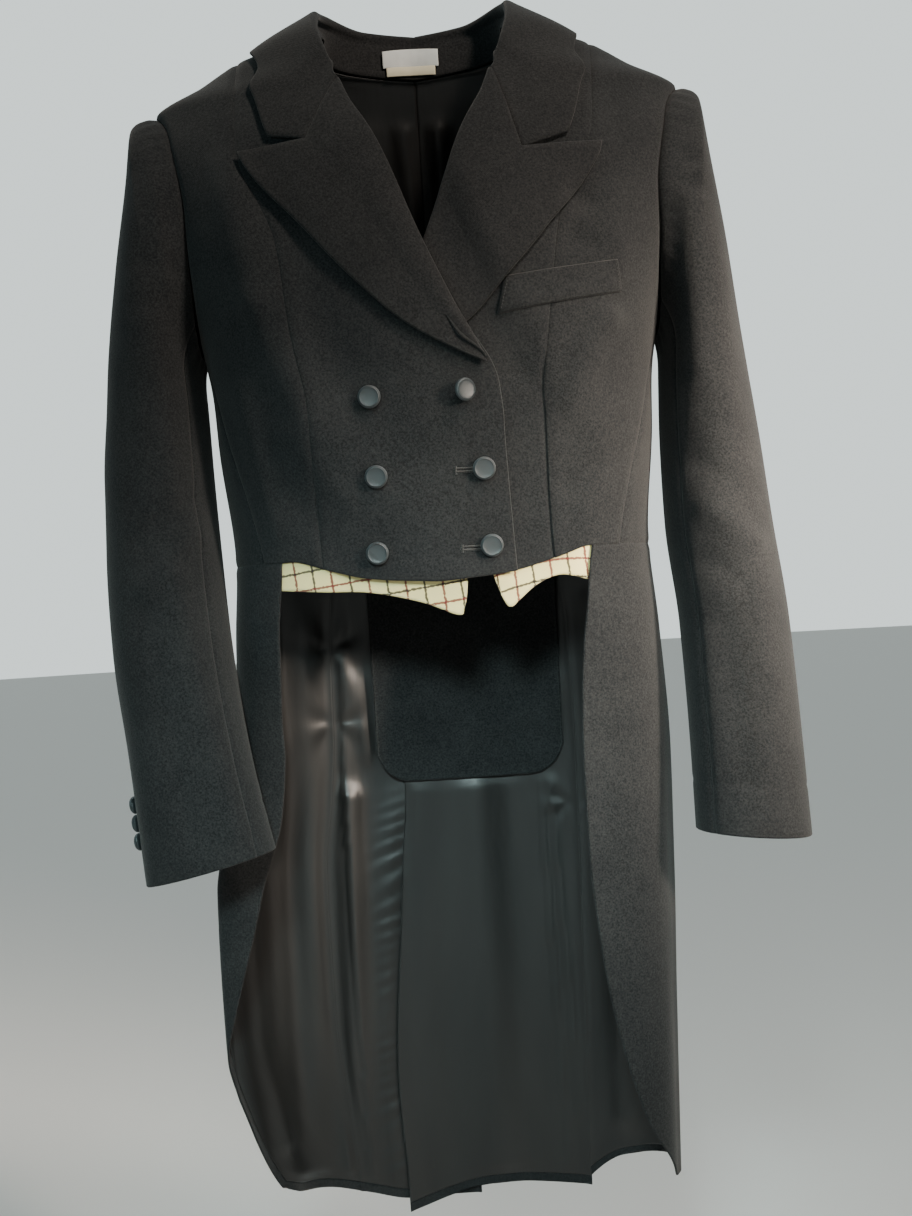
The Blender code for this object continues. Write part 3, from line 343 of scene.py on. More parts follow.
# Finer drags than the solids carry, on both fronts
FINE_DRAGS = np.array([
    (0.121, -0.163, 0.131, -0.170, 0.009, -0.0028),
    (0.119, -0.196, 0.132, -0.203, 0.008, -0.0022),
    (0.150, -0.205, 0.138, -0.260, 0.012, 0.0024),
    (0.138, -0.262, 0.104, -0.322, 0.010, 0.0026),
    (0.070, -0.300, 0.086, -0.318, 0.011, -0.0020),
    (0.100, -0.388, 0.122, -0.372, 0.008, -0.0020),
    (0.128, -0.330, 0.112, -0.420, 0.012, 0.0016),
    (-0.152, -0.120, -0.130, -0.235, 0.014, 0.0030),
    (-0.130, -0.235, -0.094, -0.335, 0.013, 0.0030),
    (-0.120, -0.130, -0.072, -0.300, 0.020, -0.0026),
    (-0.128, -0.150, -0.112, -0.270, 0.010, -0.0018),
    (-0.112, -0.338, -0.070, -0.392, 0.009, 0.0020),
    (-0.120, -0.372, -0.080, -0.430, 0.010, -0.0016),
    (-0.030, -0.452, 0.036, -0.452, 0.016, 0.0032),
    (-0.150, -0.300, -0.128, -0.410, 0.009, 0.0018),
])

# Folds of the satin inside the tails, seen from the front; the depth is how far they stand off
SATIN_FOLDS = np.array([
    (-0.128, -0.450, -0.146, -0.985, 0.0150, 0.0058),
    (-0.096, -0.640, -0.112, -0.985, 0.0110, 0.0052),
    (-0.158, -0.480, -0.168, -0.930, 0.0090, 0.0036),
    (-0.092, -0.520, -0.076, -0.600, 0.0100, 0.0030),
    (0.020, -0.560, 0.026, -0.985, 0.0260, 0.0028),
    (-0.034, -0.560, -0.040, -0.960, 0.0140, 0.0014),
    (0.128, -0.480, 0.132, -0.930, 0.0130, 0.0034),
])

# Tacks that pinch the satin: x, height, reach of the pucker, phase of its rays
TACKS = np.array([
    (-0.103, -0.507, 0.015, 0.4),
    (-0.103, -0.573, 0.017, 1.7),
    (0.099, -0.655, 0.012, 2.6),
])
TACK_RAY = 0.0013
TACK_DIP = 0.0018

# Pressed pleats of the satin: x and height of the top, x and height of the foot, width, depth
PLEATS = np.array([
    (-0.103, -0.450, -0.101, -0.640, 0.016, 0.0034),
    (0.0715, -0.610, 0.0795, -0.992, 0.007, 0.0018),
    (0.0800, -0.610, 0.0940, -0.993, 0.008, 0.0022),
])

# The underlap's free edge: height, how many degrees it leans away from its cut line
VENT_LEAN = np.array([
    (-0.575, 0.0), (-0.640, -3.6), (-0.740, -2.0), (-0.830, 0.4), (-0.920, 2.4), (-1.000, 2.6),
])

# Puckers that the underlap's stitched edge draws into the satin beside it
EDGE_PUCKER_PITCH = 0.0140
EDGE_PUCKER_DEPTH = 0.0008
EDGE_PUCKER_REACH = 0.020
EDGE_PUCKER_HEIGHTS = (-0.620, -0.680)
EDGE_SWELL = 0.0020
EDGE_SWELL_SPREAD = 0.010

# Soft dents and ridges of the upper lining, seen through the neck
NECK_FOLDS = np.array([
    (-0.013, -0.060, -0.005, -0.185, 0.0080, 0.0040),
    (0.017, -0.060, 0.023, -0.185, 0.0080, 0.0048),
    (0.044, -0.100, 0.030, -0.200, 0.0090, 0.0035),
    (-0.046, -0.060, -0.038, -0.180, 0.0120, 0.0030),
])

# Dents and ridges of the sleeves' front halves
SLEEVE_DRAGS = {
    1: np.array([
        (0.205, -0.128, 0.217, -0.134, 0.008, -0.0026),
        (0.209, -0.152, 0.226, -0.158, 0.009, -0.0026),
        (0.207, -0.165, 0.210, -0.300, 0.009, 0.0022),
        (0.231, -0.200, 0.236, -0.330, 0.010, 0.0016),
        (0.206, -0.375, 0.236, -0.395, 0.012, -0.0026),
        (0.209, -0.410, 0.245, -0.440, 0.010, 0.0026),
        (0.206, -0.452, 0.234, -0.470, 0.011, -0.0022),
        (0.215, -0.505, 0.222, -0.620, 0.012, -0.0020),
        (0.246, -0.470, 0.252, -0.600, 0.012, 0.0018),
    ]),
    -1: np.array([
        (-0.209, -0.105, -0.203, -0.210, 0.009, 0.0026),
        (-0.228, -0.115, -0.224, -0.190, 0.009, -0.0022),
        (-0.217, -0.240, -0.207, -0.380, 0.011, 0.0026),
        (-0.246, -0.250, -0.240, -0.380, 0.012, -0.0018),
        (-0.198, -0.378, -0.236, -0.410, 0.010, -0.0028),
        (-0.196, -0.410, -0.232, -0.448, 0.010, 0.0026),
        (-0.210, -0.440, -0.172, -0.640, 0.011, 0.0034),
        (-0.232, -0.470, -0.205, -0.640, 0.012, -0.0022),
    ]),
}

# Creases of the sleeves' back halves, across the elbow
ELBOW_CREASES = np.array([
    (0.204, -0.330, 0.244, -0.352, 0.010, -0.0028),
    (0.202, -0.368, 0.248, -0.382, 0.010, 0.0026),
    (0.206, -0.405, 0.240, -0.412, 0.011, -0.0024),
    (0.214, -0.160, 0.222, -0.290, 0.011, 0.0022),
])

# Broad drags of the back
BACK_DRAGS = np.array([
    (0.028, -0.100, 0.014, -0.330, 0.014, 0.0018),
    (-0.028, -0.100, -0.014, -0.330, 0.014, 0.0018),
    (0.150, -0.150, 0.070, -0.230, 0.013, -0.0024),
    (-0.150, -0.150, -0.070, -0.230, 0.013, -0.0024),
    (0.120, -0.300, 0.040, -0.400, 0.014, 0.0020),
    (-0.115, -0.300, -0.036, -0.395, 0.014, 0.0020),
    (0.090, -0.400, 0.086, -0.520, 0.014, 0.0022),
    (-0.094, -0.400, -0.090, -0.520, 0.014, 0.0022),
])

# The saddle patch's creases: a narrow diagonal one at its turned corner, and two broad ones
PATCH_CREASES = np.array([
    (0.030, -0.572, 0.066, -0.616, 0.0030, 0.0016),
    (0.040, -0.585, 0.080, -0.560, 0.0120, 0.0020),
    (-0.030, -0.480, 0.010, -0.590, 0.0200, 0.0014),
])

# The folded edges: how far a fold's roll stands beyond the cloth, and how far it runs back inside
ROLL_STEPS = 9
LAPEL_TURN_IN = 0.009
STAND_FOOT_IN = WOOL + SATIN + 3 * LAYER_GAP + WOOL
COLLAR_ROLL_FRONT = 0.0030
COLLAR_ROLL_BACK = 0.0046

# Towards the gorge, in shares of the half collar: where the roll closes, and by how much, where the
# thickness begins to follow the roll's own normals, and where the stand runs out
ROLL_CLOSES = (0.80, 0.97)
ROLL_CLOSED = 0.97
ROLL_FACES = (0.70, 0.86)
STAND_ENDS = (0.72, 0.92)

# Towards the break, in shares of the lapel's length: where its roll closes, and by how much
LAPEL_ROLL_CLOSES = (0.90, 1.0)
LAPEL_ROLL_CLOSED = 0.85

# Buttonholes beside the middle and lowest buttons of the edge column: x of the ends, height
BUTTONHOLES = ((0.0150, 0.0370, -0.3730), (0.0165, 0.0390, -0.4325))
SLIT_HALF_GAP = 0.0012
PURL_RADIUS = 0.00080
BAR_HALF_LENGTH = 0.0030

# Rows of stitches: length of a stitch, pitch, radius of its thread
WELT_STITCH = (0.0017, 0.0026, 0.00022)
POINT_STITCH = (0.0020, 0.0030, 0.00020)
WELT_STITCH_INSET = 0.0016

# Check of the waistcoat cloth
CHECK_PITCH = 0.0142
CHECK_LINE = 0.0017
CHECK_LAY = {"right": (0.12, 0.0, 0.0), "left": (0.0, 3.1, 0.0985)}

# How the fine grids are laid and finished. WAVE_PER_METRE over a distance is the scale that a wave
# texture needs for bands of that distance apart.
EDGE_STEP = 0.0012
RIM_SHARE = 0.42
THREAD_DRAWN = 0.0009
WAVE_PER_METRE = math.pi / 10
ROLL_ROOM = 0.0030
ROLL_ROOM_ANGLE = 1.6
ROLL_ROOM_RUN = 0.026
SLEEVE_TURN_STEP = 2.5
SLEEVE_HEAD_EASE = 0.013
SLEEVE_HEAD_RIPPLE = 0.0004
CUFF_HEM = 0.038
CUFF_HEM_DEPTH = 0.0005
LINING_HELD = 0.012
COLLAR_SWELL = 0.0012
FALL_COLUMNS, FALL_ROWS = 76, 37
EDGE_EASINGS = 70
LAPEL_SWELL = 0.0014
LAPEL_LINES, LAPEL_ROWS = 49, 97
LAPEL_CLOTH = 0.0016
LABEL_TURN_IN = 0.004

# Stage
FLOOR_HEIGHT = -1.30
FLOOR_REACH = 30.0
FLOOR_SIDES = 96
AIR_IN_FRONT = 0.11
AIR_BEHIND = 1.30
CAMERA_PLACE = (0.0083, -1.35, -0.478)
CAMERA_LENS = 48.14
CAMERA_ROLL = 3.4
LIGHTS = (
    ("key", (0.80, -0.95, 1.00), (0.10, 0.0, -0.50), 0.25, 180.0, 30.0, "fff1e4"),
    ("side", (1.20, -1.05, -0.05), (0.31, 0.0, -0.42), 0.20, 30.0, 3.8, "ffeedd"),
    ("low", (-0.10, -1.60, 0.10), (0.0, 0.0, -0.72), 0.25, 28.0, 1.3, "d6f2f2"),
    ("fill", (-1.60, -1.20, 0.20), (0.0, 0.0, -0.40), 0.80, 180.0, 6.0, "a0e8f4"),
)


def ease(value, start, end):
    """Goes from 0 at start to 1 at end along a soft S, and stays level beyond both."""
    share = np.clip((value - start) / (end - start), 0.0, 1.0)
    return share * share * (3.0 - 2.0 * share)


def unit(vectors):
    """Vectors of the same directions and of length one."""
    return vectors / np.linalg.norm(vectors, axis=-1, keepdims=True)


def between_rows(rows, at, keys=None):
    """Reads rows of values, straight between them, at fractional row numbers or at places along keys."""
    keys = np.arange(len(rows)) if keys is None else keys
    return np.stack([np.interp(at, keys, column) for column in rows.T], axis=-1)


def curve(keys, values, at):
    """Reads a table along a smooth curve that never overshoots it, straight beyond its ends."""
    order = np.argsort(keys)
    keys, values = np.asarray(keys, float)[order], np.asarray(values, float)[order]
    step = np.diff(keys)
    slope = np.diff(values) / step
    product = slope[:-1] * slope[1:]
    total = np.where(product > 0, slope[:-1] + slope[1:], 1.0)
    middle = np.where(product > 0, 2.0 * product / total, 0.0)
    tangent = np.concatenate([slope[:1], middle, slope[-1:]])
    at = np.asarray(at, float)
    inside = np.clip(at, keys[0], keys[-1])
    cell = np.clip(np.searchsorted(keys, inside) - 1, 0, len(step) - 1)
    share = (inside - keys[cell]) / step[cell]
    square, cube = share ** 2, share ** 3
    value = (2 * cube - 3 * square + 1) * values[cell] + (3 * square - 2 * cube) * values[cell + 1]
    leaving, arriving = cube - 2 * square + share, cube - square
    value += step[cell] * (leaving * tangent[cell] + arriving * tangent[cell + 1])
    past = at - inside
    return value + past * np.where(past > 0, tangent[-1], tangent[0])


def right_tail(height, column):
    """A column of the wearer's right tail's own shape, at a height."""
    height = np.clip(height, RIGHT_TAIL[-1, 0], RIGHT_TAIL[0, 0])
    return curve(RIGHT_TAIL[:, 0], RIGHT_TAIL[:, column], height)


def half_width(height, x_sign):
    """Half width of the ring at a height, on the side that x_sign names."""
    return curve(RING_HEIGHT, HALF_WIDTH, height) + np.where(x_sign < 0, right_tail(height, 1), 0.0)


def bare_form(angle, height):
    """A point of the form's ring: a rounded rectangle in polar shape, at an angle and a height."""
    turn = np.radians(angle)
    across, along = np.sin(turn), np.cos(turn)
    power = curve(RING_HEIGHT, SQUARENESS, height)
    reach = (np.abs(across) ** power + np.abs(along) ** power) ** (1.0 / power)
    pressed = np.where(across < 0, right_tail(height, 2), 0.0)
    depth = np.where(along > 0, curve(RING_HEIGHT, FRONT_DEPTH, height) - pressed,
                     curve(RING_HEIGHT, BACK_DEPTH, height))
    x = half_width(height, across) * across / reach
    return np.stack([x, -depth * along / reach, height + 0.0 * x], axis=-1)


def outward(angle, height):
    """Unit vector that points out of the form, from small steps round it and down it."""
    step_angle, step_height = 0.2, 0.0005
    around = bare_form(angle + step_angle, height) - bare_form(angle - step_angle, height)
    down = bare_form(angle, height - step_height) - bare_form(angle, height + step_height)
    return unit(np.cross(down, around))


def drape(angle, height, point):
    """How far folds and drags lift the cloth off the bare form."""
    lift = np.zeros(np.shape(point[..., 0]))
    for fold_angle, begins, spread, depth in TAIL_FOLDS:
        apart = (angle - fold_angle + 180.0) % 360.0 - 180.0
        lift += depth * np.exp(-(apart / spread) ** 2) * ease(height, begins, begins - FOLD_FADE)
    x, y = point[..., 0], point[..., 1]
    for table, facing in ((FRONT_DRAGS, -1), (FINE_DRAGS, -1), (BACK_DRAGS, 1)):
        lift += drags_lift(table, x, height) * ease(y, facing * DRAGS_BEGIN, facing * DRAGS_WHOLE)
    return lift


def form(angle, height, out=0.0):
    """A point of the draped cloth's outer face, moved out (or in, if negative) by a distance."""
    angle, height = np.broadcast_arrays(np.asarray(angle, float), np.asarray(height, float))
    point = bare_form(angle, height)
    lift = drape(angle, height, point) + out
    return point + lift[..., None] * outward(angle, height)


def front_angle(x, height):
    """Angle of the front point with a given x, at a height. Taken from 180 it is the back point's."""
    power = curve(RING_HEIGHT, SQUARENESS, height)
    share = np.clip(np.abs(x) / half_width(height, np.asarray(x)), 0.0, 0.9999)
    return np.sign(x) * np.degrees(np.arctan2(share, (1.0 - share ** power) ** (1.0 / power)))


def armhole(turn):
    """Angle and height of an armhole point: turn 0 at the shoulder, -90 in front, 180 underarm."""
    turn = np.radians(np.asarray(turn, float))
    height = ARMHOLE_HEIGHT + ARMHOLE_HALF_HEIGHT * np.cos(turn)
    y = ARMHOLE_HALF_DEPTH * np.sin(turn)
    front, behind = curve(RING_HEIGHT, FRONT_DEPTH, height), curve(RING_HEIGHT, BACK_DEPTH, height)
    power = curve(RING_HEIGHT, SQUARENESS, height)
    share = np.abs(y) / np.where(y < 0, front, behind)
    angle = np.degrees(np.arctan2((1.0 - share ** power) ** (1.0 / power), -np.sign(y) * share))
    return np.stack([angle, height], axis=-1)


def line(start, end, count):
    """Evenly spaced points from start to end, both included, in count steps."""
    share = np.linspace(0.0, 1.0, count + 1)[:, None]
    return np.asarray(start, float) * (1.0 - share) + np.asarray(end, float) * share


def fill(top, foot, left, right, fade=1.0):
    """Grid between four edges, whose rows run from left to right.

    A row's straight run between the side edges is bent by what the top edge departs from its own
    straight run, which fades away downwards (faster with a higher fade), and by the foot's.
    """
    down = np.linspace(0.0, 1.0, len(left))[:, None, None]
    over = np.linspace(0.0, 1.0, len(top))[None, :, None]
    rows = (1 - over) * left[:, None] + over * right[:, None]
    top_bend = top[None] - ((1 - over) * top[0] + over * top[-1])
    foot_bend = foot[None] - ((1 - over) * foot[0] + over * foot[-1])
    return rows + (1 - down) ** fade * top_bend + down ** fade * foot_bend


def at_heights(table, heights):
    """Points of a seam given as (height, angle) rows, at some heights."""
    heights = np.asarray(heights, float)
    return np.stack([curve(table[:, 0], table[:, 1], heights), heights], axis=-1)


def seen(across, heights):
    """Points of the front given as seen from it, as angles and heights."""
    return np.stack([front_angle(across, heights), heights], axis=-1)


def seen_at(table, heights):
    """Points of a seam given as (across, height) rows, at some heights, as angles and heights."""
    heights = np.asarray(heights, float)
    return seen(curve(table[:, 1], table[:, 0], heights), heights)


def hem_height(x):
    """Height of the fronts' curved hem at an x."""
    return curve(FRONT_HEM[:, 0], FRONT_HEM[:, 1], np.abs(x))


def hem_line(start_angle, end_angle, count):
    """The fronts' hem between two angles."""
    angle = np.linspace(start_angle, end_angle, count + 1)
    return np.stack([angle, hem_height(bare_form(angle, WAIST)[..., 0])], axis=-1)


def under_drop(x, height):
    """How far the under front lies in, behind the over front's edge, at a point seen from the front."""
    edge = -curve(FRONT_EDGE[:, 1], FRONT_EDGE[:, 0], height)
    depth = UNDER_DROP + (UNDER_DROP_LAPEL - UNDER_DROP) * ease(height, -0.318, -0.290)
    return depth * ease(x, edge + UNDER_FROM, edge + UNDER_TO)


def front_out(chart, side):
    """How far a front piece of this side lies out: the wearer's left one goes under."""
    if side < 0:
        return 0.0
    return -under_drop(bare_form(chart[..., 0], chart[..., 1])[..., 0], chart[..., 1])


def front_charts(side):
    """Charts of the centre front and the side front: they share the bust seam's points."""
    seam = BUST_SEAM[side]
    bust = seen_at(seam, BUST_SEAM_ROWS)
    bust[0] = (90.0, BUST_SEAM_ROWS[0])
    foot_angle = front_angle(seam[-1, 0], seam[-1, 1])
    bust = np.vstack([bust, (foot_angle, hem_height(seam[-1, 0]))])
    edge = seen_at(FRONT_EDGE, FRONT_EDGE_ROWS)
    edge[:, 0] += ROLL_ROOM_ANGLE * ease(edge[:, 1], LAPEL_END, LAPEL_END + 0.02)
    edge[0] = (90.0, 0.0)
    edge_foot_x, edge_foot = FRONT_EDGE[-1]
    edge = np.vstack([edge, (front_angle(edge_foot_x, edge_foot), hem_height(edge_foot_x))])
    count = 10
    front = fill(line(edge[0], bust[0], count), hem_line(edge[-1, 0], foot_angle, count), edge, bust)
    turns = np.arange(0, SIDE_SEAM_TURN - 1, -ARMHOLE_STEP)
    outer = np.vstack([armhole(turns), at_heights(SIDE_SEAM, SIDE_SEAM_ROWS)])
    count = 5
    foot = hem_line(foot_angle, outer[-1, 0], count)
    side_front = fill(line(bust[0], outer[0], count), foot, bust, outer)
    return front, side_front


def side_chart():
    """Chart of the side body, from the side seam round to the back seam, under the armhole."""
    start = armhole(SIDE_SEAM_TURN)
    left = np.vstack([start, at_heights(SIDE_SEAM, SIDE_SEAM_ROWS)])
    right = np.vstack([armhole(BACK_SEAM_TURN), at_heights(BACK_SEAM, BACK_SEAM_ROWS)])
    turns = np.arange(SIDE_SEAM_TURN, BACK_SEAM_TURN - 360 - 1, -ARMHOLE_STEP / 2)
    return fill(armhole(turns), line(left[-1], right[-1], len(turns) - 1), left, right)


def tail_heights(foot):
    """Heights of a tail's rows, from the waist down to a foot."""
    return WAIST + np.array(TAIL_ROWS) * (foot - WAIST)


def tail_chart(top, edge, hem, seam_foot):
    """Chart of a tail's part between an edge and the back seam, from its top row down to its hem."""
    heights = tail_heights(seam_foot)
    seam = np.stack([np.full(len(heights), TAIL_SEAM), heights], axis=-1)
    foot_angles = np.linspace(edge[-1, 0], TAIL_SEAM, len(top))
    foot = np.stack([foot_angles, curve(hem[:, 0], hem[:, 1], foot_angles)], axis=-1)
    return fill(top, foot, edge, seam)


def back_chart(side):
    """Chart of a back from neck to tail hem, cut in one. The wearer's left one has the vent's underlap."""
    columns, neck = 9, 4
    top = np.vstack([line((180.0, -0.020), (90.0, 0.0), neck)[:-1],
                     line((90.0, 0.0), (90.0, armhole(0)[1]), columns - neck)])
    top[1:neck, 1] = curve(COLLAR_STATIONS[:, 0], COLLAR_STATIONS[:, 1], top[1:neck, 0])
    turns = np.arange(0, BACK_SEAM_TURN + 1, ARMHOLE_STEP)
    outer = np.vstack([armhole(turns), at_heights(BACK_SEAM, BACK_SEAM_ROWS)])
    centre_heights = np.interp(outer[:, 1], (WAIST, outer[0, 1]), (WAIST, -0.020))
    centre = np.stack([np.full(len(outer), 180.0), centre_heights], axis=-1)
    waist = line(centre[-1], outer[-1], columns)
    body = fill(top, waist, centre, outer, fade=4.0)
    hem = BACK_HEM[side]
    heights = tail_heights(hem[-1, 1])
    lap = VENT_TURN * ease(heights, *VENT_ROWS) if side > 0 else 0.0 * heights
    middle = np.stack([180.0 + lap, heights], axis=-1)
    tail = tail_chart(waist, middle, hem, hem[0, 1])
    return np.vstack([body, tail[1:]])


def vent_out(chart, side):
    """How far a back's points lie in: the underlap goes inside the other tail, below the vent's top."""
    if side < 0:
        return 0.0 * chart[..., 0]
    turned = ease(chart[..., 0], VENT_DROP_FROM, VENT_DROP_TO)
    return -VENT_DROP * turned * ease(chart[..., 1], *VENT_DROP_HEIGHTS)


def skirt_chart(side):
    """Chart of a tail's skirt, from its front edge round to the back seam, below the waist."""
    columns = 9
    hem = SKIRT_HEM[side]
    edge = at_heights(SKIRT_EDGE[side], tail_heights(hem[0, 1]))
    return tail_chart(line(edge[0], (TAIL_SEAM, WAIST), columns), edge, hem, hem[-1, 1])


def sleeve_points(turn, share, side):
    """Points of a sleeve: from the armhole out over the cap, then down through the sleeve's rings."""
    turn, share = np.broadcast_arrays(np.asarray(turn, float), np.asarray(share, float))
    start_chart = armhole(turn)
    under = ease(-np.cos(np.radians(turn)), 0.2, 0.95)
    start = form(side * start_chart[..., 0], start_chart[..., 1], UNDERARM_ROOM * under)
    cosine, sine = np.cos(np.radians(turn)), np.sin(np.radians(turn))
    end_height = CUFF_HEIGHT[side] - CUFF_TILT[side] * cosine
    height = start[..., 2] + share * (end_height - start[..., 2])
    rings = SLEEVE_RINGS[side]
    near, outer, front, behind = (curve(rings[:, 0], rings[:, k], height) for k in (1, 2, 3, 4))
    x = (near + outer) / 2 + (outer - near) / 2 * cosine
    y = (front + behind) / 2 + (behind - front) / 2 * sine
    cap = SLEEVE_CAP_TOP + (SLEEVE_CAP_SIDE - SLEEVE_CAP_TOP) * np.clip(1.0 - cosine, 0.0, 1.0)
    fall = np.clip((start[..., 2] - height) / cap, 0.0, 1.0)
    squarely, roundly = (head + change * under for head, change in zip(SLEEVE_HEAD_POWERS, UNDERARM_CHANGE))
    reach = (1.0 - (1.0 - fall) ** squarely) ** roundly
    x = start[..., 0] * (1 - reach) + side * x * reach
    y = start[..., 1] * (1 - reach) + y * reach
    return np.stack([x, y, height], axis=-1)


def seen_line(start, end, count):
    """A straight line seen from the front, as angles and heights."""
    return seen(*line(start, end, count).T)


def gorge(side):
    """The seam between collar and lapel, from the roll line to the notch."""
    return seen_line(GORGE_TOP, NOTCH[side][0], GORGE_STEPS)


def drags_lift(table, x, z):
    """Sum of soft ridges: each falls off as a bell curve with the distance from its line, in (x, z)."""
    lift = np.zeros(np.shape(x))
    for x_top, z_top, x_foot, z_foot, spread, depth in table:
        run_x, run_z = x_foot - x_top, z_foot - z_top
        length = math.hypot(run_x, run_z)
        along = ((x - x_top) * run_x + (z - z_top) * run_z) / length
        off = ((x - x_top) * run_z - (z - z_top) * run_x) / length
        past = np.maximum(np.maximum(-along, along - length), 0.0)
        lift += depth * np.exp(-(off ** 2 + past ** 2) / spread ** 2)
    return lift


def tack_lift(x, z):
    """Rays of pinched cloth round each tack: a cosine of the angle round it, fading with the distance."""
    lift = np.zeros(np.shape(x))
    for tack_x, tack_z, reach, phase in TACKS:
        away = np.hypot(x - tack_x, z - tack_z) / reach
        turn = np.arctan2(z - tack_z, x - tack_x)
        rays = TACK_RAY * np.cos(5.0 * turn + phase) * away * np.exp(1.0 - away * 1.6)
        lift += rays - TACK_DIP * np.exp(-(away * 3.2) ** 2)
    return lift


def pleat_lift(x, z):
    """A pressed pleat: a sharp step at its edge that slopes back to the cloth over the pleat's width."""
    lift = np.zeros(np.shape(x))
    for x_top, z_top, x_foot, z_foot, width, depth in PLEATS:
        edge = x_top + (x_foot - x_top) * (z - z_top) / (z_foot - z_top)
        across = (x - edge) / width
        step = np.where(across >= 0, np.clip(1.0 - across, 0.0, 1.0), 0.0)
        rise = ease(x, edge - 0.0012, edge)
        reach = ease(z, z_top + 0.02, z_top - 0.04)
        lift += depth * np.where(across < 0, rise, step) * reach
    return lift


def smooth_along(values, at, breaks=()):
    """Reads rows of values at fractional row numbers with a cubic that has no overshoot of its own slopes.

    The slope at a row is half the difference of its neighbours. At the ends and at breaks each side has
    its own slope, from the three rows on that side, so a corner stays a corner.
    """
    values = np.asarray(values, float)
    count = len(values)
    before, after = np.empty_like(values), np.empty_like(values)
    middle = (values[2:] - values[:-2]) / 2
    before[1:-1] = after[1:-1] = middle
    stops = sorted({0, count - 1, *breaks})
    for start, stop in zip(stops, stops[1:]):
        if stop - start > 1:
            after[start] = (-3 * values[start] + 4 * values[start + 1] - values[start + 2]) / 2
            before[stop] = (3 * values[stop] - 4 * values[stop - 1] + values[stop - 2]) / 2
        else:
            after[start] = before[stop] = values[stop] - values[start]
    cell = np.clip(at.astype(int), 0, count - 2)
    share = (at - cell).reshape((-1,) + (1,) * (values.ndim - 1))
    square, cube = share ** 2, share ** 3
    result = (2 * cube - 3 * square + 1) * values[cell] + (3 * square - 2 * cube) * values[cell + 1]
    return result + (cube - 2 * square + share) * after[cell] + (cube - square) * before[cell + 1]


def stations(lengths, spacing, edge=EDGE_STEP):
    """Fractional row numbers that are evenly spaced along the cloth, with one more close to either end."""
    travelled = np.concatenate([[0.0], np.cumsum(lengths)])
    total = travelled[-1]
    steps = max(int(round((total - 2 * edge) / spacing)), 1)
    places = np.concatenate([[0.0], np.linspace(edge, total - edge, steps + 1), [total]])
    return np.interp(places, travelled, np.arange(len(travelled)))


def fine_chart(chart, spacing, row_breaks=(), column_breaks=(), edges=None):
    """A chart of angles and heights on a fine, evenly spaced grid between the same edges.

    The edges are rules that say where a side's points lie exactly, from their fractional row numbers and
    where they are. What such a rule moves is shared out evenly to the piece's other side.
    """
    coarse = bare_form(chart[..., 0], chart[..., 1])
    down = stations(np.linalg.norm(np.diff(coarse, axis=0), axis=-1).mean(1), spacing)
    over = stations(np.linalg.norm(np.diff(coarse, axis=1), axis=-1).mean(0), spacing)
    fine = smooth_along(chart, down, row_breaks)
    fine = smooth_along(fine.swapaxes(0, 1), over, column_breaks).swapaxes(0, 1)
    for name, rule in (edges or {}).items():
        view = fine.swapaxes(0, 1) if name == "top" else fine
        column = -1 if name == "right" else 0
        shift = rule(over if name == "top" else down, view[:, column]) - view[:, column]
        share = np.linspace(0.0, 1.0, view.shape[1])
        view += shift[:, None] * (share if column else 1.0 - share)[None, :, None]
    return fine


def on_bust_seam(side):
    """The rule of the bust seam: each point is where the seam's smooth line has its height."""
    def rule(rows, points):
        start, end = BUST_SEAM_ROWS[0], BUST_SEAM_ROWS[-1]
        exact = seen_at(BUST_SEAM[side], points[:, 1])
        share = ease(points[:, 1], start, start - 0.0006) * ease(points[:, 1], end - 0.03, end)
        return points + (exact - points) * share[:, None]
    return rule


def vent_lean(height):
    """How far the underlap's free edge leans at a height, in degrees: not at all above the vent."""
    return curve(VENT_LEAN[:, 0], VENT_LEAN[:, 1], np.minimum(height, VENT_LEAN[0, 0]))


def on_vent(side):
    """The rule of the vent's underlap: its free edge leans from the vent's top to the tail's corner."""
    def rule(rows, points):
        lean = vent_lean(points[:, 1]) if side > 0 else 0.0
        return points + np.stack([lean + 0.0 * rows, 0.0 * rows], axis=-1)
    return rule


def on_armhole(first, step, last):
    """The rule of an armhole edge: row numbers count turns round it, from the first to a last row."""
    def rule(rows, points):
        exact = armhole(first + step * np.minimum(rows, last))
        return np.where(rows[:, None] <= last, exact, points)
    return rule


def to_edges(grid):
    """Distances along the cloth from each point of a grid to its four edges."""
    over = np.linalg.norm(np.diff(grid, axis=1), axis=-1).cumsum(axis=1)
    over = np.concatenate([np.zeros((len(grid), 1)), over], axis=1)
    down = np.linalg.norm(np.diff(grid, axis=0), axis=-1).cumsum(axis=0)
    down = np.concatenate([np.zeros((1, grid.shape[1])), down], axis=0)
    return {"left": over, "right": over[:, -1:] - over, "top": down, "foot": down[-1:] - down}


def seam_lift(distances, seams, depth, width):
    """A seam's pressed groove, with the faint ridge that its allowance makes beside it."""
    lift = 0.0
    for name in seams:
        away = distances[name]
        lift = lift - depth * np.exp(-(away / width) ** 2)
        lift = lift + 0.25 * depth * np.exp(-((away - 4.0 * width) / (1.8 * width)) ** 2)
    return lift


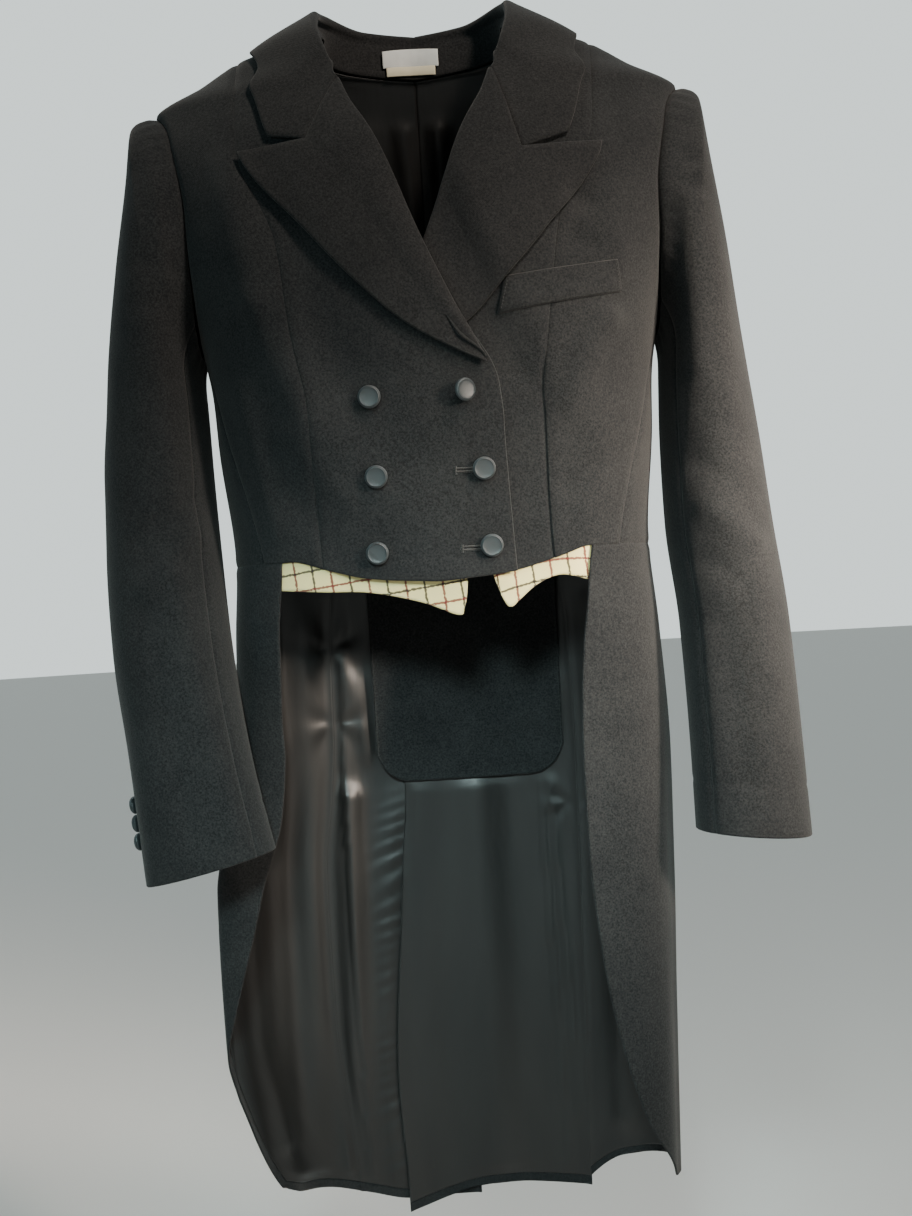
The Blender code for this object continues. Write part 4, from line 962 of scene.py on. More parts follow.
def shell(name, outer, inner, material, rim):
    """A closed cloth piece between two grids, with a rounded rim, and its own UV map in metres.

    The rim has one loop halfway between the two grids' edges, pushed outwards along the cloth.
    """
    rows, columns = outer.shape[:2]
    number = np.arange(rows * columns).reshape(rows, columns)
    loop = np.concatenate([number[0, :-1], number[:-1, -1], number[-1, :0:-1], number[:0:-1, 0]])
    push = np.zeros_like(outer)
    for edge, beside in ((0, 1), (-1, -2)):
        for view, target in ((outer, push), (outer.swapaxes(0, 1), push.swapaxes(0, 1))):
            target[edge] += unit(view[edge] - view[beside])
    flat_outer, flat_inner = outer.reshape(-1, 3), inner.reshape(-1, 3)
    middle = (flat_outer[loop] + flat_inner[loop]) / 2 + push.reshape(-1, 3)[loop] * rim
    a, b, c, d = number[:-1, :-1], number[:-1, 1:], number[1:, 1:], number[1:, :-1]
    front = np.stack([a, b, c, d], axis=-1).reshape(-1, 4)
    back = front[:, ::-1] + rows * columns
    following = np.roll(loop, -1)
    ring = 2 * rows * columns + np.arange(len(loop))
    ring_following = np.roll(ring, -1)
    near = np.stack([following, loop, ring, ring_following], axis=1)
    far = np.stack([ring_following, ring, loop + rows * columns, following + rows * columns], axis=1)
    faces = np.concatenate([front, back, near, far])
    facing = np.cross(flat_outer[b] - flat_outer[a], flat_outer[d] - flat_outer[a])
    if (facing * (flat_outer[a] - flat_inner[a])).sum() < 0:
        faces = faces[:, ::-1]
    travel = to_edges(outer)
    flat_uv = np.stack([travel["left"], -travel["top"]], axis=-1).reshape(-1, 2)
    uv = np.concatenate([flat_uv, flat_uv, flat_uv[loop]])
    return new_mesh(name, np.concatenate([flat_outer, flat_inner, middle]), faces, material, uv)


def mesh_points(mesh):
    """A mesh's points, as an array."""
    points = np.empty(len(mesh.vertices) * 3, dtype=np.float32)
    mesh.vertices.foreach_get("co", points)
    return points.reshape(-1, 3)


def mesh_corners(mesh):
    """The number of the point that each corner of a mesh's faces is at."""
    corners = np.empty(len(mesh.loops), dtype=np.int32)
    mesh.loops.foreach_get("vertex_index", corners)
    return corners


def new_mesh(name, points, faces, material, uv=None):
    """A smooth shaded mesh object from arrays of points and quads or triangles, maybe with a UV map."""
    mesh = bpy.data.meshes.new(name)
    mesh.from_pydata(points.tolist(), [], faces.tolist())
    if uv is not None:
        layer = mesh.uv_layers.new(name="UVMap")
        layer.data.foreach_set("uv", uv[mesh_corners(mesh)].astype(np.float32).ravel())
    mesh.shade_smooth()
    mesh.materials.append(material)
    piece = bpy.data.objects.new(name, mesh)
    bpy.context.scene.collection.objects.link(piece)
    return piece


def declare(piece, nodes, outer, turned=0.0):
    """The piece rides on the part's one body and stands for its nodes, whose parts it hides. Its flat size
    is worked out, but not kept.

    The turned length is cloth that is folded under or sewn in, beyond the face that shows.
    """
    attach(piece, "root")
    if nodes:
        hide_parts(*nodes)
    travel = to_edges(outer)
    width, length = float(travel["left"].max()), float(travel["top"].max()) + turned
    sides = np.cross(outer[:-1, 1:] - outer[:-1, :-1], outer[1:, :-1] - outer[:-1, :-1])
    others = np.cross(outer[1:, :-1] - outer[1:, 1:], outer[:-1, 1:] - outer[1:, 1:])
    area = float(np.linalg.norm(sides, axis=-1).sum() + np.linalg.norm(others, axis=-1).sum()) / 2
    area = min(max(area + turned * width, 0.301 * width * length), width * length)
    return piece


def form_piece(name, nodes, chart, side, material, out, thickness, seams=()):
    """A cut piece on the form, as fine grids lifted by out and pressed along its seams."""
    sizes = bpy.context.scene.coat_sizes
    angle, height = side * chart[..., 0], chart[..., 1]
    distances = to_edges(form(angle, height))
    lift = out + seam_lift(distances, seams, sizes.seam_depth, sizes.seam_width)
    outer = form(angle, height, lift)
    inner = form(angle, height, lift - thickness)
    piece = shell(name, outer, inner, material, thickness * RIM_SHARE)
    return declare(piece, nodes, outer)


def grid_normals(grid, towards):
    """Unit normals of a grid of points, from its neighbours, on the side that the vector towards names."""
    normal = unit(np.cross(np.gradient(grid, axis=0), np.gradient(grid, axis=1)))
    return normal * np.sign((normal * towards).sum())


def rolled(outer, normals, radius, turn_in, turned=1.0):
    """Rows that carry a cloth's outer face over a fold before its first row, and their outward normals.

    They leave the first row squarely, follow a share of half a circle of the radius, then run straight
    for the length turn_in. The radius, the length and the share may change from column to column.
    """
    def per_column(values):
        return np.broadcast_to(np.asarray(values, float), outer.shape[1])[None, :, None]

    fold = unit(np.gradient(outer[0], axis=0))
    up = outer[0] - outer[1]
    up = unit(up - (up * fold).sum(-1, keepdims=True) * fold)
    angles = np.linspace(0.0, np.pi, ROLL_STEPS + 1)[1:, None, None] * per_column(turned)
    facing = np.sin(angles) * up + np.cos(angles) * normals[0]
    arc = outer[0] + per_column(radius) * (facing - normals[0])
    runs = per_column(turn_in) * np.linspace(0.0, 1.0, 4)[1:, None, None]
    back = arc[-1] + runs * (np.cos(angles[-1]) * up - np.sin(angles[-1]) * normals[0])
    facing = np.concatenate([np.repeat(facing[-1:], 3, axis=0), facing[::-1], normals])
    return np.concatenate([back[::-1], arc[::-1], outer]), facing


def section_tube(path, side_axis, radius, sides=6):
    """A round thread carried along a path: rings of points in the plane across its direction."""
    direction = unit(np.gradient(path, axis=0))
    across = unit(np.cross(direction, side_axis))
    other = np.cross(direction, across)
    turn = (2 * np.pi * np.arange(sides) / sides)[None, :, None]
    radius = np.broadcast_to(radius, len(path))[:, None, None]
    rings = path[:, None] + radius * (np.cos(turn) * across[:, None] + np.sin(turn) * other[:, None])
    step, spoke = np.meshgrid(np.arange(len(path) - 1), np.arange(sides), indexing="ij")
    beside, ahead = (spoke + 1) % sides, step + 1
    faces = np.stack([step * sides + spoke, step * sides + beside, ahead * sides + beside,
                      ahead * sides + spoke], axis=-1).reshape(-1, 4)
    return rings.reshape(-1, 3), faces


def stitch_run(name, path, normals, material, length, pitch, radius):
    """A row of short stitches along a path: spindles whose ends dip into the cloth."""
    travelled = np.concatenate([[0.0], np.cumsum(np.linalg.norm(np.diff(path, axis=0), axis=1))])
    starts = np.arange(pitch / 2, travelled[-1] - length, pitch)
    share = np.linspace(0.0, 1.0, 6)
    points, faces, total = [], [], 0
    for start in starts:
        at = start + share * length
        spine, up = between_rows(path, at, travelled), between_rows(normals, at, travelled)
        arch = np.sin(np.pi * share)
        spine = spine + up * (radius * (1.3 * arch - 0.5))[:, None]
        ring, quads = section_tube(spine, up, radius * (0.35 + 0.65 * arch))
        points.append(ring)
        faces.append(quads + total)
        total += len(ring)
    piece = new_mesh(name, np.concatenate(points), np.concatenate(faces), material)
    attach(piece, "root")
    return piece


def linear(colour):
    """Linear red, green and blue of an sRGB hex colour."""
    channels = [int(colour[start:start + 2], 16) / 255 for start in (0, 2, 4)]
    return tuple(c / 12.92 if c <= 0.04045 else ((c + 0.055) / 1.055) ** 2.4 for c in channels)


def add_node(tree, kind, settings=None, inputs=None):
    """One node with its settings, and its inputs as values or as sockets to link."""
    made = tree.nodes.new(kind)
    for name, value in (settings or {}).items():
        setattr(made, name, value)
    for name, value in (inputs or {}).items():
        if isinstance(value, bpy.types.NodeSocket):
            tree.links.new(value, made.inputs[name])
        else:
            made.inputs[name].default_value = value
    return made


def noise(tree, place, scale, detail, roughness=0.5, flat=False):
    """A noise texture's value at a place, in space or on the flat."""
    return add_node(tree, "ShaderNodeTexNoise", {"noise_dimensions": "2D" if flat else "3D"},
                    {"Vector": place, "Scale": scale, "Detail": detail,
                     "Roughness": roughness}).outputs["Fac"]


def bands(tree, place, apart, wander, way="X", detail=2.0, detail_scale=1.0):
    """Bands that lie a distance apart, in metres, and wander a little from straight."""
    return add_node(tree, "ShaderNodeTexWave", {"wave_type": "BANDS", "bands_direction": way},
                    {"Vector": place, "Scale": WAVE_PER_METRE / apart, "Distortion": wander,
                     "Detail": detail, "Detail Scale": detail_scale}).outputs["Fac"]


def maths(tree, operation, *values, clamp=False):
    """What an operation makes of some values or sockets."""
    return add_node(tree, "ShaderNodeMath", {"operation": operation, "use_clamp": clamp},
                    dict(enumerate(values))).outputs["Value"]


def blend(tree, share, first, second):
    """Two colours mixed by a share. The first may be a socket."""
    if not isinstance(first, bpy.types.NodeSocket):
        first = (*first, 1.0)
    return add_node(tree, "ShaderNodeMix", {"data_type": "RGBA"},
                    {"Factor": share, 6: first, 7: (*second, 1.0)}).outputs[2]


def relief(tree, height, distance, strength, under=None):
    """The normal of a bump of a height, laid over another one if there is one under it."""
    below = {} if under is None else {"Normal": under}
    return add_node(tree, "ShaderNodeBump", {},
                    {"Height": height, "Distance": distance, "Strength": strength,
                     **below}).outputs["Normal"]


def dress(tree, shader, colour, normal):
    """Gives the shader its colour and its normal. A plain colour is set on the shader itself."""
    if isinstance(colour, bpy.types.NodeSocket):
        tree.links.new(colour, shader.inputs["Base Color"])
    else:
        shader.inputs["Base Color"].default_value = (*colour, 1.0)
    tree.links.new(normal, shader.inputs["Normal"])


def on_piece(tree):
    """Places on the piece itself, in metres."""
    return add_node(tree, "ShaderNodeTexCoord").outputs["Object"]


def new_finish(name, **shader_values):
    """An empty material, its node tree and its shader, whose own values are set by name."""
    made = bpy.data.materials.new(name)
    made.use_nodes = True
    tree = made.node_tree
    shader = tree.nodes["Principled BSDF"]
    for socket, value in shader_values.items():
        shader.inputs[socket.replace("_", " ")].default_value = value
    return made, tree, shader


def in_metres(tree):
    """The piece's own UV map, laid out in metres across and down the cloth."""
    return add_node(tree, "ShaderNodeUVMap", {"uv_map": "UVMap"}).outputs["UV"]


def woollen(name, dark, light, grain, cloud_share):
    """Fine coating wool, woven, milled and pressed: no gloss, a soft bloom at its edges, and a speckle of
    lighter fibres over darker ones. Its threads are 0.45 mm apart, drawn at 0.9 mm so that they show."""
    made, tree, shader = new_finish(name, Roughness=0.92, Sheen_Weight=0.10, Sheen_Roughness=0.5,
                                    Specular_IOR_Level=0.22)
    shader.inputs["Sheen Tint"].default_value = (0.84, 0.80, 0.76, 1.0)
    place, body = in_metres(tree), on_piece(tree)
    fleck = noise(tree, body, 1.0 / grain, 3.0, 0.7)
    cloud = noise(tree, body, 22.0, 4.0, 0.6)
    ways = []
    for turn in (28.0, -62.0):
        turned = add_node(tree, "ShaderNodeMapping", {},
                          {"Vector": place, "Rotation": (0.0, 0.0, math.radians(turn))})
        ways.append(bands(tree, turned.outputs["Vector"], THREAD_DRAWN, 1.2, "X", 1.0, 2.0))
    speckle = add_node(tree, "ShaderNodeMapRange", {"clamp": True},
                       {"Value": fleck, "From Min": 0.36, "From Max": 0.68})
    clouded = add_node(tree, "ShaderNodeMapRange", {"clamp": True},
                       {"Value": cloud, "From Min": 0.30, "From Max": 0.72,
                        "To Min": -cloud_share, "To Max": cloud_share})
    total = maths(tree, "ADD", speckle.outputs["Result"], clouded.outputs["Result"], clamp=True)
    nap = relief(tree, fleck, 0.0005, 0.42)
    threads = relief(tree, maths(tree, "MULTIPLY", *ways), 0.0003, 0.30, nap)
    dress(tree, shader, blend(tree, total, dark, light), threads)
    return made


def satin_finish(name, dark, light):
    """Black lining satin, a tight warp-faced weave: dark, with broad soft lights along its folds. Its
    colour is painted lighter where its small puckers stand up, which is a painted highlight. Its warp
    threads run down the cloth, 0.25 mm apart, drawn at 0.8 mm, and its small puckers are 20 mm long."""
    made, tree, shader = new_finish(name, Roughness=0.40, Sheen_Weight=0.05, Sheen_Roughness=0.4,
                                    Specular_IOR_Level=0.50)
    place = in_metres(tree)
    drawn_out = add_node(tree, "ShaderNodeMapping", {}, {"Vector": place, "Scale": (34.0, 9.0, 1.0)})
    pucker_and_painted_highlight = noise(tree, drawn_out.outputs["Vector"], 1.0, 3.0, 0.55, flat=True)
    creased = relief(tree, pucker_and_painted_highlight, 0.0022, 0.35)
    threads = relief(tree, bands(tree, place, 0.0008, 0.6), 0.0001, 0.25, creased)
    # The colour follows the puckers' height: painted highlight on their raised ridges, darker in their
    # hollows
    dress(tree, shader, blend(tree, pucker_and_painted_highlight, dark, light), threads)
    return made


def checked_wool(name, ground, black, red):
    """Cream brushed wool with a fine windowpane check of near-black and dark red threads in turn. Its lines
    are rows of dyed threads, so they are a little uneven and follow the weave."""
    made, tree, shader = new_finish(name, Roughness=0.85, Sheen_Weight=0.2, Sheen_Roughness=0.5,
                                    Specular_IOR_Level=0.25)
    turned = add_node(tree, "ShaderNodeMapping", {},
                      {"Vector": in_metres(tree), "Location": (0.004, 0.0045, 0.0)})
    place = turned.outputs["Vector"]
    across = add_node(tree, "ShaderNodeSeparateXYZ", {}, {"Vector": place})
    edge = maths(tree, "MULTIPLY", noise(tree, place, 420.0, 2.0, flat=True), CHECK_LINE)
    colour = ground
    for axis in ("X", "Y"):
        for shift, thread in ((0.0, black), (CHECK_PITCH, red)):
            moved = maths(tree, "ADD", across.outputs[axis], shift + 20 * CHECK_PITCH)
            on_line = maths(tree, "LESS_THAN", maths(tree, "PINGPONG", moved, CHECK_PITCH), edge)
            colour = blend(tree, maths(tree, "MULTIPLY", on_line, 0.88), colour, thread)
    nap = noise(tree, place, 1100.0, 3.0, flat=True)
    dress(tree, shader, colour, relief(tree, nap, 0.0004, 0.45))
    return made


def horn_finish(name, face, worn):
    """Moulded urea button, tumbled to a satin matte: slate grey, slightly lighter where its rim is rubbed,
    with faint turning marks across its face."""
    made, tree, shader = new_finish(name, Roughness=0.46, Specular_IOR_Level=0.5)
    place = on_piece(tree)
    rub = add_node(tree, "ShaderNodeAttribute", {"attribute_name": "rim_wear"}).outputs["Fac"]
    total = maths(tree, "MULTIPLY_ADD", noise(tree, place, 260.0, 4.0, 0.6), 0.35, rub, clamp=True)
    grain = relief(tree, noise(tree, place, 1500.0, 2.0), 0.0001, 0.3)
    dress(tree, shader, blend(tree, total, face, worn), grain)
    return made


def tape_finish(name, colour, shadow):
    """Woven label tape, a fine taffeta of polyester: even and slightly silky, with ribs 0.5 mm apart."""
    made, tree, shader = new_finish(name, Roughness=0.6, Sheen_Weight=0.1, Specular_IOR_Level=0.4)
    place = in_metres(tree)
    ribs = relief(tree, bands(tree, place, 0.0005, 0.4, "Y"), 0.0001, 0.35)
    dress(tree, shader, blend(tree, noise(tree, place, 90.0, 3.0, flat=True), colour, shadow), ribs)
    return made


def thread_finish(name, colour):
    """Waxed buttonhole twist: two plies, so its gloss is broken by a fine slanting rib."""
    made, tree, shader = new_finish(name, Roughness=0.55, Sheen_Weight=0.15, Specular_IOR_Level=0.4)
    plies = bands(tree, on_piece(tree), 0.0006, 1.0, "DIAGONAL")
    dress(tree, shader, colour, relief(tree, plies, 0.0001, 0.5))
    return made


def floor_finish(name, colour):
    """Matte painted board, rolled on: an even pale coat with the faintest stipple."""
    made, tree, shader = new_finish(name, Roughness=0.8)
    dress(tree, shader, colour, relief(tree, noise(tree, on_piece(tree), 300.0, 2.0), 0.0003, 0.1))
    return made


def finish(name):
    """The material of a name, made the first time that it is asked for from the chosen colours."""
    if name in bpy.data.materials:
        return bpy.data.materials[name]
    colours = bpy.context.scene.coat_colours
    makers = {
        "coating_wool": lambda: woollen(name, colours.wool_dark[:], colours.wool_light[:], 0.0016, 0.16),
        "facing_wool": lambda: woollen(name, colours.collar_dark[:], colours.collar_light[:], 0.0016, 0.12),
        "lining_satin": lambda: satin_finish(name, colours.satin_dark[:], colours.satin_painted_highlight[:]),
        "check_wool": lambda: checked_wool(name, colours.check_ground[:], colours.check_black[:],
                                           colours.check_red[:]),
        "slate_button": lambda: horn_finish(name, colours.button_face[:], colours.button_worn[:]),
        "woven_label_tape": lambda: tape_finish(name, linear("d9dcd8"), linear("c2c6c4")),
        "size_label_tape": lambda: tape_finish(name, linear("dcd6bd"), linear("c9c2a6")),
        "buttonhole_twist": lambda: thread_finish(name, linear("232220")),
        "cream_thread": lambda: thread_finish(name, linear("cfc6a4")),
        "painted_floor": lambda: floor_finish(name, linear("e9e9e7")),
    }
    return makers[name]()


def a_length(name, description, metres):
    """A length that a user may change."""
    return bpy.props.FloatProperty(name=name, description=description, default=metres, unit="LENGTH")


def a_colour(name, description, hex_colour):
    """A colour that a user may change, from its sRGB hex form."""
    return bpy.props.FloatVectorProperty(name=name, description=description, subtype="COLOR", size=3,
                                         default=linear(hex_colour))


class CoatSizes(bpy.types.PropertyGroup):
    """Sizes that a user may change."""
    cloth_grid: a_length("Wool grid", "Spacing of the wool's points", 0.0034)
    lining_grid: a_length("Satin grid", "Spacing of the satin's points", 0.0030)
    seam_depth: a_length("Seam depth", "How deep a pressed seam lies", 0.0008)
    seam_width: a_length("Seam width", "How wide a pressed seam's groove is", 0.0016)
    button_radius: a_length("Button radius", "Radius of the front buttons", BUTTON_RADIUS)


class CoatColours(bpy.types.PropertyGroup):
    """Colours that a user may change."""
    wool_dark: a_colour("Wool, dark fibres", "Colour of the coat's darker fibres", "101214")
    wool_light: a_colour("Wool, light fibres", "Colour of the coat's lighter fibres", "2c2d2d")
    collar_dark: a_colour("Collar, dark fibres", "Colour of the collar's darker fibres", "111213")
    collar_light: a_colour("Collar, light fibres", "Colour of the collar's lighter fibres", "2b2b2b")
    satin_dark: a_colour("Satin, dark", "Darker colour of the lining", "0f1010")
    # The lighter satin colour is painted on the raised puckers of the lining: a painted highlight
    satin_painted_highlight: a_colour("Satin, light", "Lighter colour of the lining", "201f1e")
    check_ground: a_colour("Check ground", "Ground colour of the waistcoat cloth", "e0d295")
    check_black: a_colour("Check, dark threads", "Near-black lines of the check", "1d1517")
    check_red: a_colour("Check, red threads", "Red lines of the check", "6a1f26")
    button_face: a_colour("Button face", "Colour of the buttons", "2c3133")
    button_worn: a_colour("Button rim", "Colour of the buttons' rubbed rims", "3a4042")


def vent_edge(height):
    """Where the underlap's free edge is seen at a height, across the coat."""
    return form(180.0 + VENT_TURN + vent_lean(height), height)[..., 0]


def edge_puckers(x, height):
    """Slanting ripples of unequal strength beside the underlap's edge, on its far side the stronger."""
    away = vent_edge(height) - x
    phase = 2 * np.pi * (height + 0.35 * away) / EDGE_PUCKER_PITCH
    uneven = 0.62 + 0.38 * np.sin(height * 71.0 + 1.0) * np.sin(height * 43.0)
    far = np.exp(-(away / EDGE_PUCKER_REACH) ** 2)
    beside = np.where(away > 0, far, 0.30 * np.exp(-(away / 0.010) ** 2))
    ripple = np.cos(phase + 2.2 * np.sin(height * 57.0) + 1.7 * np.sin(height * 23.0 + 0.8))
    swell = EDGE_SWELL * np.exp(-((away - EDGE_SWELL_SPREAD) / EDGE_SWELL_SPREAD) ** 2)
    return (EDGE_PUCKER_DEPTH * uneven * ripple * beside + swell) * ease(height, *EDGE_PUCKER_HEIGHTS)


def lining_lift(x, height):
    """How far the satin stands off the wool: its folds, pleats and tacks, none of them under the patch."""
    first, last = PATCH_SIDES
    on_patch = ease(x, first - 0.012, first) * ease(x, last + 0.012, last)
    on_patch = on_patch * ease(height, PATCH_FOOT - 0.012, PATCH_FOOT + 0.004)
    folds = drags_lift(SATIN_FOLDS, x, height) + pleat_lift(x, height) + tack_lift(x, height)
    folds = folds + edge_puckers(x, height)
    free = (1.0 - on_patch) * ease(height, WAIST - 0.005, WAIST - 0.060)
    return np.maximum(folds, -0.0004) * free + drags_lift(NECK_FOLDS, x, height)


def make_lining(name, node, chart, side, row_breaks=(), column_breaks=(), edges=None):
    """A satin lining that follows its wool piece inside it, with its own folds."""
    sizes = bpy.context.scene.coat_sizes
    fine = fine_chart(chart, sizes.lining_grid, row_breaks, column_breaks, edges)
    place = form(side * fine[..., 0], fine[..., 1])
    fold = lining_lift(place[..., 0], place[..., 2])
    travel = to_edges(place)
    held = np.ones_like(fold)
    for edge in ("left", "right", "top", "foot"):
        held = held * ease(travel[edge], 0.0, LINING_HELD)
    lift = vent_out(fine, side) - (WOOL + LAYER_GAP) - fold * held
    form_piece(name, (node,), fine, side, finish("lining_satin"), lift, SATIN, ("right", "top"))


class COAT_OT_fronts(bpy.types.Operator):
    """Centre fronts and side fronts, with the bust seam between them."""
    bl_idname = "coat.fronts"
    bl_label = "Fronts"

    def execute(self, context):
        grid = context.scene.coat_sizes.cloth_grid
        for side, word in SIDES:
            front, side_front = front_charts(side)
            bust = on_bust_seam(side)
            front = fine_chart(front, grid, edges={"right": bust})
            scye = on_armhole(0, -ARMHOLE_STEP, 8)
            side_front = fine_chart(side_front, grid, (8,), edges={"left": bust, "right": scye})
            form_piece(f"cloth_front_{word}", (f"front_{word}",), front, side,
                       finish("coating_wool"), front_out(front, side), WOOL, ("right", "top"))
            form_piece(f"cloth_side_front_{word}", (f"side_front_{word}",), side_front, side,
                       finish("coating_wool"), 0.0, WOOL, ("left", "right", "top"))
        return {"FINISHED"}


class COAT_OT_backs(bpy.types.Operator):
    """Side bodies under the armholes, and the backs, each cut in one with its tail."""
    bl_idname = "coat.backs"
    bl_label = "Side bodies and backs"

    def execute(self, context):
        grid = context.scene.coat_sizes.cloth_grid
        for side, word in SIDES:
            scye = on_armhole(SIDE_SEAM_TURN, -ARMHOLE_STEP / 2, 99)
            body = fine_chart(side_chart(), grid, edges={"top": scye})
            form_piece(f"cloth_side_body_{word}", (f"side_body_{word}",), body, side,
                       finish("coating_wool"), 0.0, WOOL, ("left", "right", "top", "foot"))
            scye = on_armhole(0, ARMHOLE_STEP, 6)
            back = fine_chart(back_chart(side), grid, (6, 11), (4,), {"right": scye, "left": on_vent(side)})
            form_piece(f"cloth_back_{word}", (f"back_{word}",), back, side, finish("coating_wool"),
                       vent_out(back, side), WOOL, ("left", "right", "top"))
        return {"FINISHED"}


class COAT_OT_skirts(bpy.types.Operator):
    """Skirts of the tails, joined at the waist."""
    bl_idname = "coat.skirts"
    bl_label = "Tail skirts"

    def execute(self, context):
        grid = context.scene.coat_sizes.cloth_grid
        for side, word in SIDES:
            skirt = fine_chart(skirt_chart(side), grid)
            form_piece(f"cloth_skirt_{word}", (f"skirt_{word}",), skirt, side,
                       finish("coating_wool"), 0.0, WOOL, ("top", "right"))
        return {"FINISHED"}


class COAT_OT_linings(bpy.types.Operator):
    """Satin linings of the backs and the tails, with their folds, pleats and tacks."""
    bl_idname = "coat.linings"
    bl_label = "Satin linings"

    def execute(self, context):
        for side, word in SIDES:
            make_lining(f"satin_back_{word}", f"lining_back_{word}", back_chart(side)[:-1], side,
                        (6, 11), (4,), {"left": on_vent(side)})
            make_lining(f"satin_skirt_{word}", f"lining_skirt_{word}", skirt_chart(side)[:-1, 1:], side)
        return {"FINISHED"}


class COAT_OT_saddle_patch(bpy.types.Operator):
    """The wool patch inside the tails, with its rounded corners and a diagonal crease."""
    bl_idname = "coat.saddle_patch"
    bl_label = "Saddle patch"

    def execute(self, context):
        columns, rows = 60, 68
        share = np.linspace(-1.0, 1.0, columns + 1)
        middle, half = sum(PATCH_SIDES) / 2, (PATCH_SIDES[1] - PATCH_SIDES[0]) / 2
        x = middle + half * np.sin(np.pi / 2 * share)
        to_side = np.clip((np.abs(x - middle) - (half - PATCH_CORNER)) / PATCH_CORNER, 0.0, 0.985)
        foot = PATCH_FOOT + PATCH_CORNER * (1.0 - np.sqrt(1.0 - to_side ** 2))
        down = np.linspace(0.0, 1.0, rows + 1)[:, None]
        height = (WAIST - PATCH_TOP_DROP) * (1 - down) + foot[None] * down
        angle = 180.0 - front_angle(x[None] + 0.0 * height, height)
        chart = np.stack([angle, height], axis=-1)
        drop = VENT_DROP * ease(angle, VENT_DROP_FROM - 6.0, VENT_DROP_TO - 3.0)
        drop = drop * ease(height, *PATCH_DROP_HEIGHTS)
        crease = drags_lift(PATCH_CREASES, x[None] + 0.0 * height, height)
        out = -(WOOL + SATIN + 2 * LAYER_GAP + PATCH_SEAT) - drop - crease
        form_piece("cloth_saddle_patch", ("saddle_patch",), chart, 1, finish("coating_wool"), out,
                   WOOL, ("left", "right", "foot"))
        return {"FINISHED"}


def sleeve_lift(points, normals, side):
    """Soft dents and ridges of a sleeve: the front list where it faces forwards, the elbow's behind."""
    x, z = points[..., 0], points[..., 2]
    forwards = ease(-normals[..., 1], 0.05, 0.55)
    backwards = ease(normals[..., 1], 0.05, 0.55)
    lift = drags_lift(SLEEVE_DRAGS[side], x, z) * forwards
    return lift + drags_lift(ELBOW_CREASES, side * x, z) * backwards


def fine_sleeve(turns, side):
    """Outer grid and outward normals of a sleeve piece between two of its long seams."""
    grid = bpy.context.scene.coat_sizes.cloth_grid
    length = np.linalg.norm(sleeve_points(0.0, 1.0, side) - sleeve_points(0.0, 0.0, side))
    shares = stations([length], grid)
    shares = np.sort(np.concatenate([shares, shares[1:9] / 2 + shares[:8] / 2]))
    turn, share = np.meshgrid(turns, shares)
    points = sleeve_points(turn, share, side)
    around = sleeve_points(turn + 0.5, share, side) - sleeve_points(turn - 0.5, share, side)
    ahead, behind = np.minimum(share + 0.002, 1.0), np.maximum(share - 0.002, 0.0)
    along = sleeve_points(turn, ahead, side) - sleeve_points(turn, behind, side)
    return points, unit(side * np.cross(along, around))


class COAT_OT_sleeves(bpy.types.Operator):
    """Two-piece sleeves, with their long seams, turned cuffs and creases."""
    bl_idname = "coat.sleeves"
    bl_label = "Sleeves"

    def execute(self, context):
        sizes = context.scene.coat_sizes
        for side, word in SIDES:
            hind = HIND_SEAM_TURN[side]
            spans = {"top": (FOREARM_SEAM_TURN, hind), "under": (hind, FOREARM_SEAM_TURN + 360)}
            for part, (start, end) in spans.items():
                turns = np.linspace(start, end, int((end - start) / SLEEVE_TURN_STEP) + 1)
                points, normals = fine_sleeve(turns, side)
                travel = to_edges(points)
                lift = sleeve_lift(points, normals, side) * ease(travel["top"], 0.004, 0.030)
                lift = lift * ease(travel["foot"], 0.0, 0.02)
                lift = lift + seam_lift(travel, ("left", "right", "top"), sizes.seam_depth,
                                        sizes.seam_width)
                ease_in = np.cos(travel["left"] / SLEEVE_HEAD_EASE * 2 * np.pi)
                lift = lift + SLEEVE_HEAD_RIPPLE * ease_in * np.exp(-(travel["top"] / 0.012 - 0.8) ** 2)
                lift = lift - CUFF_HEM_DEPTH * np.exp(-((travel["foot"] - CUFF_HEM) / 0.0022) ** 2)
                outer = points + normals * lift[..., None]
                inner = outer - normals * WOOL
                piece = shell(f"cloth_{part}_sleeve_{word}", outer, inner, finish("coating_wool"),
                              WOOL * RIM_SHARE)
                declare(piece, (f"{part}_sleeve_{word}",), outer)
        return {"FINISHED"}


